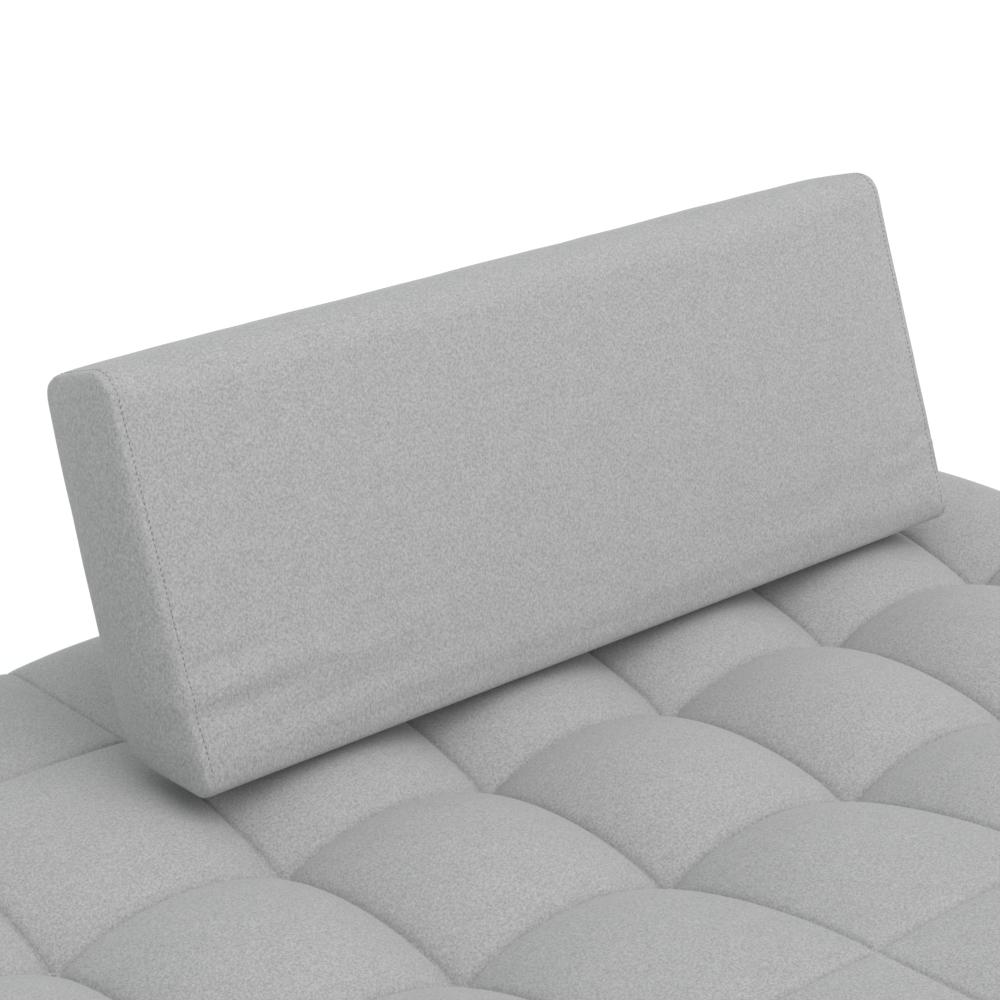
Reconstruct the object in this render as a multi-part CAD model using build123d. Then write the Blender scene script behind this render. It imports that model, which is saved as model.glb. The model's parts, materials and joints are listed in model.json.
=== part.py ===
from build123d import *
import math
import os

# Daybed: a slatted timber base, a tufted mattress lying loose on it, and a loose leaning backrest on the mattress.
# Origin: on the floor, under the middle of the footprint. +X along the length, +Y to the back edge, +Z up.
# Millimetres.

# ---- driving dimensions ----

# mattress
LENGTH = 2000.0
WIDTH = 950.0
MATTRESS_THICKNESS = 195.0
MATTRESS_CORNER = 55.0
TOP_EDGE_RADIUS = 48.0
BOTTOM_EDGE_RADIUS = 14.0
COVER_THICKNESS = 6.0
BAND_DROP = 52.0
UNDERSIDE_HEIGHT = 20.0
TUFT_PITCH = 190.0
TUFT_DEPTH = 50.0
TUFT_MOUTH_RADIUS = 30.0
TUFT_THROAT_RADIUS = 5.0
TUFT_EDGE_MIN = 100.0
TWINE_RADIUS = 1.5
WASHER_RADIUS = 14.0
WASHER_THICKNESS = 2.0

# timber base
FRAME_INSET = 25.0
RAIL_THICKNESS = 28.0
RAIL_HEIGHT = 85.0
SLAT_PROUD = 5.0
SLAT_WIDTH = 95.0
SLAT_THICKNESS = 14.0
SLAT_GAP_MAX = 75.0
SLAT_END_GAP = 2.0
LEDGER_WIDTH = 28.0
LEDGER_HEIGHT = 30.0
BEAM_WIDTH = 45.0
BEAM_HEIGHT = 68.0
HANGER_STEEL = 2.0
HANGER_REACH = 40.0
HANGER_WING = 20.0
CORNER_BLOCK = 58.0

# legs and feet
LEG_LENGTH = 147.0
LEG_TOP_RADIUS = 25.0
LEG_BOTTOM_RADIUS = 15.0
LEG_PLATE = 3.0
GLIDE_THICKNESS = 5.0
GLIDE_RADIUS = 13.0
GLIDE_NAIL_LENGTH = 15.0
CENTRE_LEG_RADIUS = 20.0
CENTRE_LEG_SPACING = 660.0
FOOT_RADIUS = 17.0
FOOT_THICKNESS = 8.0
FOOT_STUD_LENGTH = 45.0
INSERT_RADIUS = 6.5
INSERT_LENGTH = 14.0

# fasteners
STUD_RADIUS = 4.0
STUD_LENGTH = 65.0
STUD_IN_LEG = 30.0
BOLT_RADIUS = 3.0
BOLT_HEAD_RADIUS = 5.0
BOLT_HEAD = 6.0
BOLT_IN_RAIL = 18.0
BOLT_SPACING = 42.0
BOLT_STAGGER = 14.0
BOLT_OFFSET = 15.0
SCREW_RADIUS = 2.0
SCREW_HEAD_RADIUS = 4.0
SCREW_HEAD = 2.0
SLAT_SCREW_LENGTH = 32.0
SHORT_SCREW_LENGTH = 12.0

# backrest
BACK_LENGTH = 796.0
BACK_HEIGHT = 295.0
BACK_BASE_DEPTH = 103.0
BACK_TOP_DEPTH = 82.0
BACK_TOP_FALL = 26.0
BACK_LEAN = 20.0
BACK_FROM_END = 140.0
BACK_FROM_PIT = 38.0
BACK_TOP_RADIUS = 22.0
BACK_TOE_RADIUS = 12.0
BACK_HEEL_RADIUS = 36.0
BACK_SKIN = 6.0
BOARD_THICKNESS = 9.0
BOARD_MARGIN = 30.0
BATTEN_HEIGHT = 24.0
BATTEN_DEPTH = 26.0
BALLAST_THICKNESS = 8.0
BALLAST_MARGIN = 1.0
BALLAST_SCREW_LENGTH = 24.0
BALLAST_SCREW_COUNT = 5
GRIP_THICKNESS = 2.0
GRIP_MARGIN = 16.0
GRIP_EDGE = 2.0

# zips
ZIP_WIDTH = 22.0
ZIP_TAPE = 1.0
ZIP_GROOVE = 5.5
ZIP_MARGIN = 60.0
MATTRESS_ZIP_RISE = 45.0
BACK_ZIP_RISE = 52.0
SLIDER_LENGTH = 12.0
SLIDER_WIDTH = 9.0
SLIDER_BODY = 1.7
SLIDER_POST = 1.1
PULL_LENGTH = 22.0
PULL_WIDTH = 7.0
PULL_THICKNESS = 0.9
PULL_PIN_RADIUS = 0.5

# clearances
SOFT_GAP = 0.3
HOLE_GAP = 0.1
RUN_GAP = 0.05
ZIP_GAP = 0.2

# ---- levels and lines worked out from them ----

LEG_TOP = GLIDE_THICKNESS + LEG_LENGTH
RAIL_BOTTOM = LEG_TOP + LEG_PLATE
RAIL_TOP = RAIL_BOTTOM + RAIL_HEIGHT
SLAT_TOP = RAIL_TOP + SLAT_PROUD
SLAT_BOTTOM = SLAT_TOP - SLAT_THICKNESS
MATTRESS_BOTTOM = SLAT_TOP + SOFT_GAP
MATTRESS_TOP = MATTRESS_BOTTOM + MATTRESS_THICKNESS
SEAM_LEVEL = MATTRESS_TOP - BAND_DROP
FRAME_X = LENGTH / 2 - FRAME_INSET
FRAME_Y = WIDTH / 2 - FRAME_INSET
INNER_X = FRAME_X - RAIL_THICKNESS
INNER_Y = FRAME_Y - RAIL_THICKNESS
BLOCK_X = INNER_X - CORNER_BLOCK / 2
BLOCK_Y = INNER_Y - CORNER_BLOCK / 2
BEAM_BOTTOM = SLAT_BOTTOM - BEAM_HEIGHT
BACK_BOTTOM = MATTRESS_TOP + SOFT_GAP
BACK_BASE = BACK_BOTTOM + GRIP_THICKNESS
BACK_TOP = BACK_BASE + BACK_HEIGHT
BACK_X1 = LENGTH / 2 - BACK_FROM_END
BACK_X0 = BACK_X1 - BACK_LENGTH
BACK_Y = TUFT_PITCH / 2 + BACK_FROM_PIT
LEAN = math.tan(math.radians(BACK_LEAN))
PULL_EYE = SLIDER_BODY + SLIDER_POST + RUN_GAP


# ---- helpers ----

def block(x, y, z):
    """A box from its low and high limits along each axis."""
    size = Box(x[1] - x[0], y[1] - y[0], z[1] - z[0])
    return Pos((x[0] + x[1]) / 2, (y[0] + y[1]) / 2, (z[0] + z[1]) / 2) * size


def rod(start, direction, radius, length):
    """A cylinder from a start point along a direction."""
    plane = Plane(origin=start, z_dir=direction)
    return plane * Pos(0, 0, length / 2) * Cylinder(radius, length)


def screw(head_top, direction, length, gap=0.0):
    """A countersunk screw, or with a gap the hole that it goes in."""
    plane = Plane(origin=head_top, z_dir=direction)
    head = Cone(SCREW_HEAD_RADIUS + gap, SCREW_RADIUS + gap, SCREW_HEAD)
    shank = Cylinder(SCREW_RADIUS + gap, length - SCREW_HEAD + gap)
    middle = SCREW_HEAD + (length - SCREW_HEAD + gap) / 2
    return plane * (Pos(0, 0, SCREW_HEAD / 2) * head + Pos(0, 0, middle) * shank)


def cut(shape, tools):
    """The shape less every tool."""
    for tool in tools:
        shape = shape - tool
    return shape


def centred(count, pitch):
    """Positions of a centred row at a pitch."""
    return [(i - (count - 1) / 2) * pitch for i in range(count)]


def corners():
    """The sign pairs of the four corners, front left first."""
    return [(sx, sy) for sy in (-1, 1) for sx in (-1, 1)]


# ---- fasteners of the base ----

def slat_lines():
    """Centre of each slat along X."""
    span = 2 * (BLOCK_X - CORNER_BLOCK / 2 - SLAT_END_GAP)
    count = math.ceil((span + SLAT_GAP_MAX) / (SLAT_WIDTH + SLAT_GAP_MAX))
    return centred(count, (span - SLAT_WIDTH) / (count - 1))


def slat_screws(gap=0.0):
    """Three screws through each slat: one into each ledger and one into the beam."""
    side = INNER_Y - LEDGER_WIDTH / 2
    places = [(x, y) for x in slat_lines() for y in (-side, 0, side)]
    return [screw((x, y, SLAT_TOP), (0, 0, -1), SLAT_SCREW_LENGTH, gap) for x, y in places]


def bolt(start, direction, gap=0.0):
    """A cap-head connector bolt with its head against the inner face of a corner block."""
    length = CORNER_BLOCK + BOLT_IN_RAIL
    shank = rod(start, direction, BOLT_RADIUS + gap, length + gap)
    if gap:
        return shank
    back = tuple(-d for d in direction)
    return shank + rod(start, back, BOLT_HEAD_RADIUS, BOLT_HEAD)


def connector_bolts(gap=0.0):
    """Four bolts at each corner, two into the end rail and two into the side rail."""
    middle = (RAIL_BOTTOM + SLAT_BOTTOM) / 2
    bolts = []
    for sx, sy in corners():
        inner_x, inner_y = BLOCK_X - CORNER_BLOCK / 2, BLOCK_Y - CORNER_BLOCK / 2
        for side in (-1, 1):
            z = middle + side * BOLT_SPACING / 2
            start = (sx * inner_x, sy * (BLOCK_Y + BOLT_OFFSET), z)
            bolts.append(bolt(start, (sx, 0, 0), gap))
            z = middle + side * (BOLT_SPACING / 2 - BOLT_STAGGER)
            start = (sx * (BLOCK_X + BOLT_OFFSET), sy * inner_y, z)
            bolts.append(bolt(start, (0, sy, 0), gap))
    return bolts


def leg_studs(gap=0.0):
    """One threaded stud up from each leg: four corner legs, then the centre legs."""
    feet = [(sx * BLOCK_X, sy * BLOCK_Y, LEG_TOP) for sx, sy in corners()]
    feet += [(x, 0, BEAM_BOTTOM) for x in centred(2, CENTRE_LEG_SPACING)]
    low = STUD_IN_LEG + gap
    return [rod((x, y, z - low), (0, 0, 1), STUD_RADIUS + gap, STUD_LENGTH + 2 * gap) for x, y, z in feet]


def plate_screws(gap=0.0):
    """Four screws up through each leg plate."""
    reach = CORNER_BLOCK / 2 - 2 * SCREW_HEAD_RADIUS
    screws = []
    for sx, sy in corners():
        for dx, dy in corners():
            start = (sx * BLOCK_X + dx * reach, sy * BLOCK_Y + dy * reach, LEG_TOP)
            screws.append(screw(start, (0, 0, 1), SHORT_SCREW_LENGTH, gap))
    return screws


def hanger_screws(gap=0.0):
    """Two screws through each wing of each beam hanger into the end rail."""
    reach = hanger_half_width() + HANGER_WING / 2
    x = INNER_X - HANGER_STEEL
    levels = [BEAM_BOTTOM + BEAM_HEIGHT * share for share in (0.25, 0.6)]
    places = [(s, y, z) for s in (-1, 1) for y in (-reach, reach) for z in levels]
    return [screw((s * x, y, z), (s, 0, 0), SHORT_SCREW_LENGTH, gap) for s, y, z in places]


# ---- base ----

def hanger_half_width():
    """Half of a hanger's outer width, over its two side plates."""
    return BEAM_WIDTH / 2 + HOLE_GAP + HANGER_STEEL


def rails():
    """The two long rails run through; the head and foot rails stand between them."""
    z = (RAIL_BOTTOM, RAIL_TOP)
    return {
        "rail_front": block((-FRAME_X, FRAME_X), (-FRAME_Y, -INNER_Y), z),
        "rail_back": block((-FRAME_X, FRAME_X), (INNER_Y, FRAME_Y), z),
        "rail_head": block((-FRAME_X, -INNER_X), (-INNER_Y, INNER_Y), z),
        "rail_foot": block((INNER_X, FRAME_X), (-INNER_Y, INNER_Y), z),
    }


def beam_hangers():
    """A pressed steel hanger at each end: a back plate with wings, and a tray for the beam."""
    half = hanger_half_width()
    floor = BEAM_BOTTOM - HANGER_STEEL
    top = BEAM_BOTTOM + BEAM_HEIGHT * 0.75
    hangers = []
    for s in (-1, 1):
        wall, front, tip = s * INNER_X, s * (INNER_X - HANGER_STEEL), s * (INNER_X - HANGER_REACH)
        plate = block(sorted((wall, front)), (-half - HANGER_WING, half + HANGER_WING), (floor, top))
        tray = block(sorted((front, tip)), (-half, half), (floor, top))
        room = block(sorted((front, tip)), (-half + HANGER_STEEL, half - HANGER_STEEL), (BEAM_BOTTOM, top))
        hangers.append(plate + (tray - room))
    return hangers


def make_base():
    """Every piece of the base but the legs."""
    bolt_holes = connector_bolts(HOLE_GAP)
    wood_holes = slat_screws(HOLE_GAP)
    wing_holes = hanger_screws(HOLE_GAP)
    stud_holes = leg_studs(HOLE_GAP)
    foot_holes = plate_screws(HOLE_GAP)
    made = rails()
    for name in ("rail_front", "rail_back"):
        made[name] = cut(made[name], bolt_holes)
    for name in ("rail_head", "rail_foot"):
        made[name] = cut(made[name], bolt_holes + wing_holes)

    beam_end = INNER_X - HANGER_STEEL
    beam = block((-beam_end, beam_end), (-BEAM_WIDTH / 2, BEAM_WIDTH / 2), (BEAM_BOTTOM, SLAT_BOTTOM))
    made["centre_beam"] = cut(beam, wood_holes + stud_holes)
    made["beam_hangers"] = Compound([cut(h, wing_holes) for h in beam_hangers()])

    ledger_x = BLOCK_X - CORNER_BLOCK / 2 - BOLT_HEAD - SLAT_END_GAP
    ledger_z = (SLAT_BOTTOM - LEDGER_HEIGHT, SLAT_BOTTOM)
    for name, s in (("slat_ledger_front", -1), ("slat_ledger_back", 1)):
        y = sorted((s * INNER_Y, s * (INNER_Y - LEDGER_WIDTH)))
        made[name] = cut(block((-ledger_x, ledger_x), y, ledger_z), wood_holes)

    slat_y = INNER_Y - SLAT_END_GAP
    for number, x in enumerate(slat_lines(), 1):
        slat = block((x - SLAT_WIDTH / 2, x + SLAT_WIDTH / 2), (-slat_y, slat_y), (SLAT_BOTTOM, SLAT_TOP))
        near = wood_holes[3 * (number - 1):3 * number]
        made[f"slat_{number:02d}"] = cut(slat, near)

    half = CORNER_BLOCK / 2
    plates = []
    for number, (sx, sy) in enumerate(corners(), 1):
        x = (sx * BLOCK_X - half, sx * BLOCK_X + half)
        y = (sy * BLOCK_Y - half, sy * BLOCK_Y + half)
        corner = block(x, y, (RAIL_BOTTOM, SLAT_BOTTOM))
        made[f"corner_block_{number}"] = cut(corner, bolt_holes + stud_holes + foot_holes)
        plates.append(cut(block(x, y, (LEG_TOP, RAIL_BOTTOM)), stud_holes + foot_holes))
    made["leg_plates"] = Compound(plates)
    made["slat_screws"] = Compound(slat_screws())
    made["connector_bolts"] = Compound(connector_bolts())
    made["short_screws"] = Compound(plate_screws() + hanger_screws())
    made["leg_studs"] = Compound(leg_studs())
    return made


def glide(x, y, gap=0.0):
    """A nylon glide with its nail; with a gap, the nail's hole."""
    nail = rod((x, y, GLIDE_THICKNESS), (0, 0, 1), SCREW_RADIUS + gap, GLIDE_NAIL_LENGTH + gap)
    if gap:
        return nail
    disc = rod((x, y, 0), (0, 0, 1), GLIDE_RADIUS, GLIDE_THICKNESS)
    return fillet(disc.edges().group_by(Axis.Z)[0], GLIDE_THICKNESS / 3) + nail


def make_legs():
    """Four tapered corner legs on glides, and two centre legs on adjusting feet."""
    made = {}
    stud_holes = leg_studs(HOLE_GAP)
    places = [(sx * BLOCK_X, sy * BLOCK_Y) for sx, sy in corners()]
    for number, (x, y) in enumerate(places, 1):
        leg = Pos(x, y, GLIDE_THICKNESS + LEG_LENGTH / 2) * Cone(LEG_BOTTOM_RADIUS, LEG_TOP_RADIUS, LEG_LENGTH)
        made[f"leg_{number}"] = cut(leg, stud_holes + [glide(x, y, HOLE_GAP)])
    made["leg_glides"] = Compound([glide(x, y) for x, y in places])

    low = FOOT_THICKNESS + SOFT_GAP
    bore = FOOT_STUD_LENGTH + RUN_GAP + SOFT_GAP
    inserts = []
    for number, x in enumerate(centred(2, CENTRE_LEG_SPACING), 1):
        leg = rod((x, 0, low), (0, 0, 1), CENTRE_LEG_RADIUS, BEAM_BOTTOM - low)
        made[f"centre_leg_{number}"] = cut(leg, stud_holes + [rod((x, 0, low), (0, 0, 1), INSERT_RADIUS, bore)])
        insert = rod((x, 0, low), (0, 0, 1), INSERT_RADIUS, INSERT_LENGTH)
        inserts.append(insert - rod((x, 0, low), (0, 0, 1), STUD_RADIUS + RUN_GAP, INSERT_LENGTH))
        pad = rod((x, 0, 0), (0, 0, 1), FOOT_RADIUS, FOOT_THICKNESS)
        pad = fillet(pad.edges().group_by(Axis.Z)[0], FOOT_THICKNESS / 4)
        made[f"centre_foot_{number}"] = pad + rod((x, 0, FOOT_THICKNESS), (0, 0, 1), STUD_RADIUS, FOOT_STUD_LENGTH)
    made["foot_inserts"] = Compound(inserts)
    return made


# ---- zips ----

def slider(centre, out, along):
    """A zip slider on the tape, with a post that carries the pull's pin."""
    plane = Plane(origin=centre, x_dir=along, z_dir=out)
    body = Pos(0, 0, SLIDER_BODY / 2) * Box(SLIDER_LENGTH, SLIDER_WIDTH, SLIDER_BODY)
    body = fillet(body.edges().filter_by(Axis.Z), SLIDER_WIDTH / 4)
    post = Pos(0, 0, SLIDER_BODY + SLIDER_POST) * Box(SLIDER_POST * 3, SLIDER_POST, SLIDER_POST * 2)
    hole = Pos(0, 0, PULL_EYE) * Rot(90, 0, 0) * Cylinder(PULL_PIN_RADIUS + RUN_GAP, SLIDER_WIDTH)
    return plane * (body + post - hole)


def pull(centre, out, along):
    """A pull tab on its pin, lying along the tape."""
    plane = Plane(origin=centre, x_dir=along, z_dir=out)
    arm = PULL_WIDTH / 2 - PULL_THICKNESS
    pin = Pos(0, 0, PULL_EYE) * Rot(90, 0, 0) * Cylinder(PULL_PIN_RADIUS, PULL_WIDTH)
    tab = Pos(PULL_LENGTH / 2, 0, PULL_EYE) * Box(PULL_LENGTH, PULL_WIDTH, PULL_THICKNESS)
    window = Pos(SLIDER_LENGTH / 4, 0, PULL_EYE) * Box(SLIDER_LENGTH, 2 * arm, PULL_WIDTH)
    tab = tab - window
    tip = tab.edges().filter_by(Axis.Z).group_by(Axis.X)[-1]
    return plane * (fillet(tip, PULL_WIDTH / 3) + pin)


# ---- mattress ----

def slab(inset, bottom, top):
    """The mattress's outer form, drawn in by an inset at the sides, with rounded edges."""
    body = block((inset - LENGTH / 2, LENGTH / 2 - inset), (inset - WIDTH / 2, WIDTH / 2 - inset), (bottom, top))
    body = fillet(body.edges().filter_by(Axis.Z), MATTRESS_CORNER - inset)
    body = fillet(body.faces().sort_by(Axis.Z)[-1].edges(), TOP_EDGE_RADIUS - inset)
    return fillet(body.faces().sort_by(Axis.Z)[0].edges(), BOTTOM_EDGE_RADIUS - inset)


def tuft_places():
    """The deep crossings of the sewn grid: every column and all rows but the two border rows."""
    columns = 2 * math.floor((LENGTH / 2 - TUFT_EDGE_MIN) / TUFT_PITCH + 0.5)
    rows = 2 * math.floor((WIDTH / 2 - TUFT_EDGE_MIN) / TUFT_PITCH + 0.5) - 2
    return [(x, y) for y in centred(rows, TUFT_PITCH) for x in centred(columns, TUFT_PITCH)]


def make_mattress():
    """Foam core in a sewn cover, pulled down by twines to washers below."""
    made = {}
    core_bottom = MATTRESS_BOTTOM + COVER_THICKNESS
    core_top = MATTRESS_TOP - COVER_THICKNESS
    throat = MATTRESS_TOP - TUFT_DEPTH
    outer = slab(0, MATTRESS_BOTTOM, MATTRESS_TOP)
    core = slab(COVER_THICKNESS, core_bottom, core_top)
    skin = outer - core

    pits, twines, bores, washers, pockets = [], [], [], [], []
    for x, y in tuft_places():
        pits.append(Pos(x, y, throat + TUFT_DEPTH / 2) * Cone(TUFT_THROAT_RADIUS, TUFT_MOUTH_RADIUS, TUFT_DEPTH))
        twines.append(rod((x, y, core_bottom + WASHER_THICKNESS), (0, 0, 1), TWINE_RADIUS,
                          throat - core_bottom - WASHER_THICKNESS))
        bores.append(rod((x, y, core_bottom), (0, 0, 1), TWINE_RADIUS + HOLE_GAP, throat - core_bottom + 1))
        washers.append(rod((x, y, core_bottom), (0, 0, 1), WASHER_RADIUS, WASHER_THICKNESS))
        pockets.append(rod((x, y, core_bottom), (0, 0, 1), WASHER_RADIUS + HOLE_GAP, WASHER_THICKNESS + HOLE_GAP))

    zip_z = MATTRESS_BOTTOM + MATTRESS_ZIP_RISE
    zip_x = LENGTH / 2 - MATTRESS_CORNER - ZIP_MARGIN
    back = WIDTH / 2
    groove = block((-zip_x, zip_x), (back - ZIP_GROOVE, back + 1), (zip_z - ZIP_WIDTH / 2, zip_z + ZIP_WIDTH / 2))
    tape = block((-zip_x, zip_x), (back - ZIP_GROOVE, back - ZIP_GROOVE + ZIP_TAPE),
                 (zip_z - ZIP_WIDTH / 2, zip_z + ZIP_WIDTH / 2))

    wide_x, wide_y = (-LENGTH, LENGTH), (-WIDTH, WIDTH)
    hem = MATTRESS_BOTTOM + UNDERSIDE_HEIGHT
    above = block(wide_x, wide_y, (SEAM_LEVEL, MATTRESS_TOP + 1))
    between = block(wide_x, wide_y, (hem, SEAM_LEVEL))
    below = block(wide_x, wide_y, (MATTRESS_BOTTOM - 1, hem))
    made["mattress_core"] = cut(core, pits + bores + pockets)
    made["mattress_top_cover"] = cut(skin & above, pits)
    made["mattress_side_band"] = (skin & between) - groove
    made["mattress_underside"] = skin & below
    made["tuft_twines"] = Compound(twines)
    made["tuft_washers"] = Compound(washers)
    made["mattress_zip_tape"] = tape
    seat = (zip_x - 2 * PULL_LENGTH, back - ZIP_GROOVE + ZIP_TAPE + ZIP_GAP, zip_z)
    made["mattress_zip_slider"] = slider(seat, (0, 1, 0), (-1, 0, 0))
    made["mattress_zip_pull"] = pull(seat, (0, 1, 0), (-1, 0, 0))
    return made


# ---- backrest ----

def back_outline(inset=0.0):
    """The backrest's leaning side view, drawn in by an inset, with rounded corners."""
    front_top = BACK_Y + BACK_HEIGHT * LEAN
    points = [(BACK_Y, BACK_BASE), (BACK_Y + BACK_BASE_DEPTH, BACK_BASE),
              (front_top + BACK_TOP_DEPTH, BACK_TOP - BACK_TOP_FALL), (front_top, BACK_TOP)]
    face = make_face(Polyline(*points, close=True))
    face = fillet(face.vertices().group_by(Axis.Y)[0].sort_by(Axis.X)[0], BACK_TOE_RADIUS)
    face = fillet(face.vertices().group_by(Axis.Y)[0].sort_by(Axis.X)[-1], BACK_HEEL_RADIUS)
    face = fillet(face.vertices().sort_by(Axis.Y)[-2:], BACK_TOP_RADIUS)
    return offset(face, -inset) if inset else face


def base_flat(margin):
    """The flat part of the underside between its two rounded corners, less a margin at each side."""
    front_angle = math.radians(90 - BACK_LEAN)
    rear_lean = math.atan((BACK_HEIGHT * LEAN + BACK_TOP_DEPTH - BACK_BASE_DEPTH) / (BACK_HEIGHT - BACK_TOP_FALL))
    rear_angle = math.pi / 2 + rear_lean
    front = BACK_Y + BACK_TOE_RADIUS / math.tan(front_angle / 2)
    rear = BACK_Y + BACK_BASE_DEPTH - BACK_HEEL_RADIUS / math.tan(rear_angle / 2)
    return front + margin, rear - margin


def back_form(inset, x0, x1):
    """The outline run along X between two planes."""
    return extrude(Plane.YZ.offset(x0) * back_outline(inset), x1 - x0)


def back_face_frame(along_x, rise, out):
    """A plane on the rear face: x along the length, z outwards, at a rise up the slope."""
    low = (BACK_Y + BACK_BASE_DEPTH, BACK_BASE)
    high = (BACK_Y + BACK_HEIGHT * LEAN + BACK_TOP_DEPTH, BACK_TOP - BACK_TOP_FALL)
    slope = math.hypot(high[0] - low[0], high[1] - low[1])
    up = ((high[0] - low[0]) / slope, (high[1] - low[1]) / slope)
    normal = (0, up[1], -up[0])
    origin = (along_x, low[0] + up[0] * rise + normal[1] * out, low[1] + up[1] * rise + normal[2] * out)
    return origin, normal


def make_backrest():
    """A leaning cushion: foam round a stiff board that stands on a heavy base plate."""
    made = {}
    inner_x0, inner_x1 = BACK_X0 + BACK_SKIN, BACK_X1 - BACK_SKIN
    middle_x, middle_y = (BACK_X0 + BACK_X1) / 2, sum(base_flat(0)) / 2
    foam = back_form(BACK_SKIN, inner_x0, inner_x1)
    wrap = back_form(0, inner_x0, inner_x1) - foam
    made["backrest_end_left"] = back_form(0, BACK_X0, inner_x0)
    made["backrest_end_right"] = back_form(0, inner_x1, BACK_X1)

    plate_z = BACK_BASE + BACK_SKIN
    board_x = (BACK_X0 + BOARD_MARGIN, BACK_X1 - BOARD_MARGIN)
    plate = block(board_x, base_flat(BALLAST_MARGIN), (plate_z, plate_z + BALLAST_THICKNESS))
    batten_z = plate_z + BALLAST_THICKNESS
    batten_y = (middle_y - BATTEN_DEPTH / 2, middle_y + BATTEN_DEPTH / 2)
    batten = block(board_x, batten_y, (batten_z, batten_z + BATTEN_HEIGHT))
    depth = BOARD_THICKNESS / math.cos(math.radians(BACK_LEAN))
    board_z = (batten_z + BATTEN_HEIGHT, BACK_TOP - BOARD_MARGIN)
    board_y = [middle_y + (z - batten_z) * LEAN for z in board_z]
    board_points = [(board_y[0] - depth / 2, board_z[0]), (board_y[0] + depth / 2, board_z[0]),
                    (board_y[1] + depth / 2, board_z[1]), (board_y[1] - depth / 2, board_z[1])]
    side = make_face(Polyline(*board_points, close=True))
    board = extrude(Plane.YZ.offset(board_x[0]) * side, board_x[1] - board_x[0])

    pitch = (board_x[1] - board_x[0]) / BALLAST_SCREW_COUNT
    places = [(middle_x + x, middle_y, plate_z) for x in centred(BALLAST_SCREW_COUNT, pitch)]
    screws = [screw(place, (0, 0, 1), BALLAST_SCREW_LENGTH) for place in places]
    holes = [screw(place, (0, 0, 1), BALLAST_SCREW_LENGTH, HOLE_GAP) for place in places]
    made["backrest_foam"] = cut(foam, [plate, batten, board])
    made["backrest_board"] = board
    made["backrest_batten"] = cut(batten, holes)
    made["ballast_plate"] = cut(plate, holes)
    made["ballast_screws"] = Compound(screws)
    grip_x = (BACK_X0 + GRIP_MARGIN, BACK_X1 - GRIP_MARGIN)
    made["backrest_grip"] = block(grip_x, base_flat(GRIP_EDGE), (BACK_BOTTOM, BACK_BASE))

    run = BACK_LENGTH - 2 * ZIP_MARGIN
    origin, normal = back_face_frame(middle_x, BACK_ZIP_RISE, 0)
    groove = Plane(origin=origin, x_dir=(1, 0, 0), z_dir=normal) * Box(run, ZIP_WIDTH, 2 * ZIP_GROOVE)
    made["backrest_wrap"] = wrap - groove
    origin, normal = back_face_frame(middle_x, BACK_ZIP_RISE, ZIP_TAPE / 2 - ZIP_GROOVE)
    made["backrest_zip_tape"] = Plane(origin=origin, x_dir=(1, 0, 0), z_dir=normal) * Box(run, ZIP_WIDTH, ZIP_TAPE)
    parked = middle_x + run / 2 - 2 * PULL_LENGTH
    origin, normal = back_face_frame(parked, BACK_ZIP_RISE, ZIP_TAPE + ZIP_GAP - ZIP_GROOVE)
    made["backrest_zip_slider"] = slider(origin, normal, (-1, 0, 0))
    made["backrest_zip_pull"] = pull(origin, normal, (-1, 0, 0))
    return made


parts = make_base() | make_legs() | make_mattress() | make_backrest()
os.makedirs("parts", exist_ok=True)
for name, shape in parts.items():
    export_step(shape, f"parts/{name}.step")
print(len(parts), "parts")
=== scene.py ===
import json
import logging
import math
from dataclasses import dataclass
from enum import Enum
from typing import Callable, Iterable, Sequence

import bmesh
import bpy
from mathutils import Matrix, Vector, noise
from mathutils.bvhtree import BVHTree

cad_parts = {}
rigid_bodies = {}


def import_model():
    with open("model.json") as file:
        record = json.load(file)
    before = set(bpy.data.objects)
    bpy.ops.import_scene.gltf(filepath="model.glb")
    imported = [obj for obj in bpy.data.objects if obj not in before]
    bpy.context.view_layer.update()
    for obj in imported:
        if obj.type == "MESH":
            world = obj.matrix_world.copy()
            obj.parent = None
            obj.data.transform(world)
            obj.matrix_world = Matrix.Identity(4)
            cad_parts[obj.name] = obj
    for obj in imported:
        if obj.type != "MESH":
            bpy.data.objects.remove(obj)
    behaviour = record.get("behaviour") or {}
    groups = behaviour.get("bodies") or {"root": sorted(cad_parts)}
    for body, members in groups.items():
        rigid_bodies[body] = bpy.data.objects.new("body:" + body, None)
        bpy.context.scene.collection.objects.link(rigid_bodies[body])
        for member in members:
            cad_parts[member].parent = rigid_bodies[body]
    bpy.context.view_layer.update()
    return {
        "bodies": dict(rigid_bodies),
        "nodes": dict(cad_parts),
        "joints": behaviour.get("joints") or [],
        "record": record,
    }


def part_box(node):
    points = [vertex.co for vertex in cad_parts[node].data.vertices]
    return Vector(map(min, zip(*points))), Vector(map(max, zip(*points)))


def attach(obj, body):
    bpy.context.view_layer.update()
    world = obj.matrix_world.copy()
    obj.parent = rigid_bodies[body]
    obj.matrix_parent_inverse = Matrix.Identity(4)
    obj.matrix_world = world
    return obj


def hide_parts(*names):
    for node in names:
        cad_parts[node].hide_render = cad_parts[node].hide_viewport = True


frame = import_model()
log = logging.getLogger("daybed")

Colour = tuple[float, float, float]
Point = tuple[float, float, float]

MM = 0.001


# ---------------------------------------------------------------------------
# Node graphs
# ---------------------------------------------------------------------------


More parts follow.
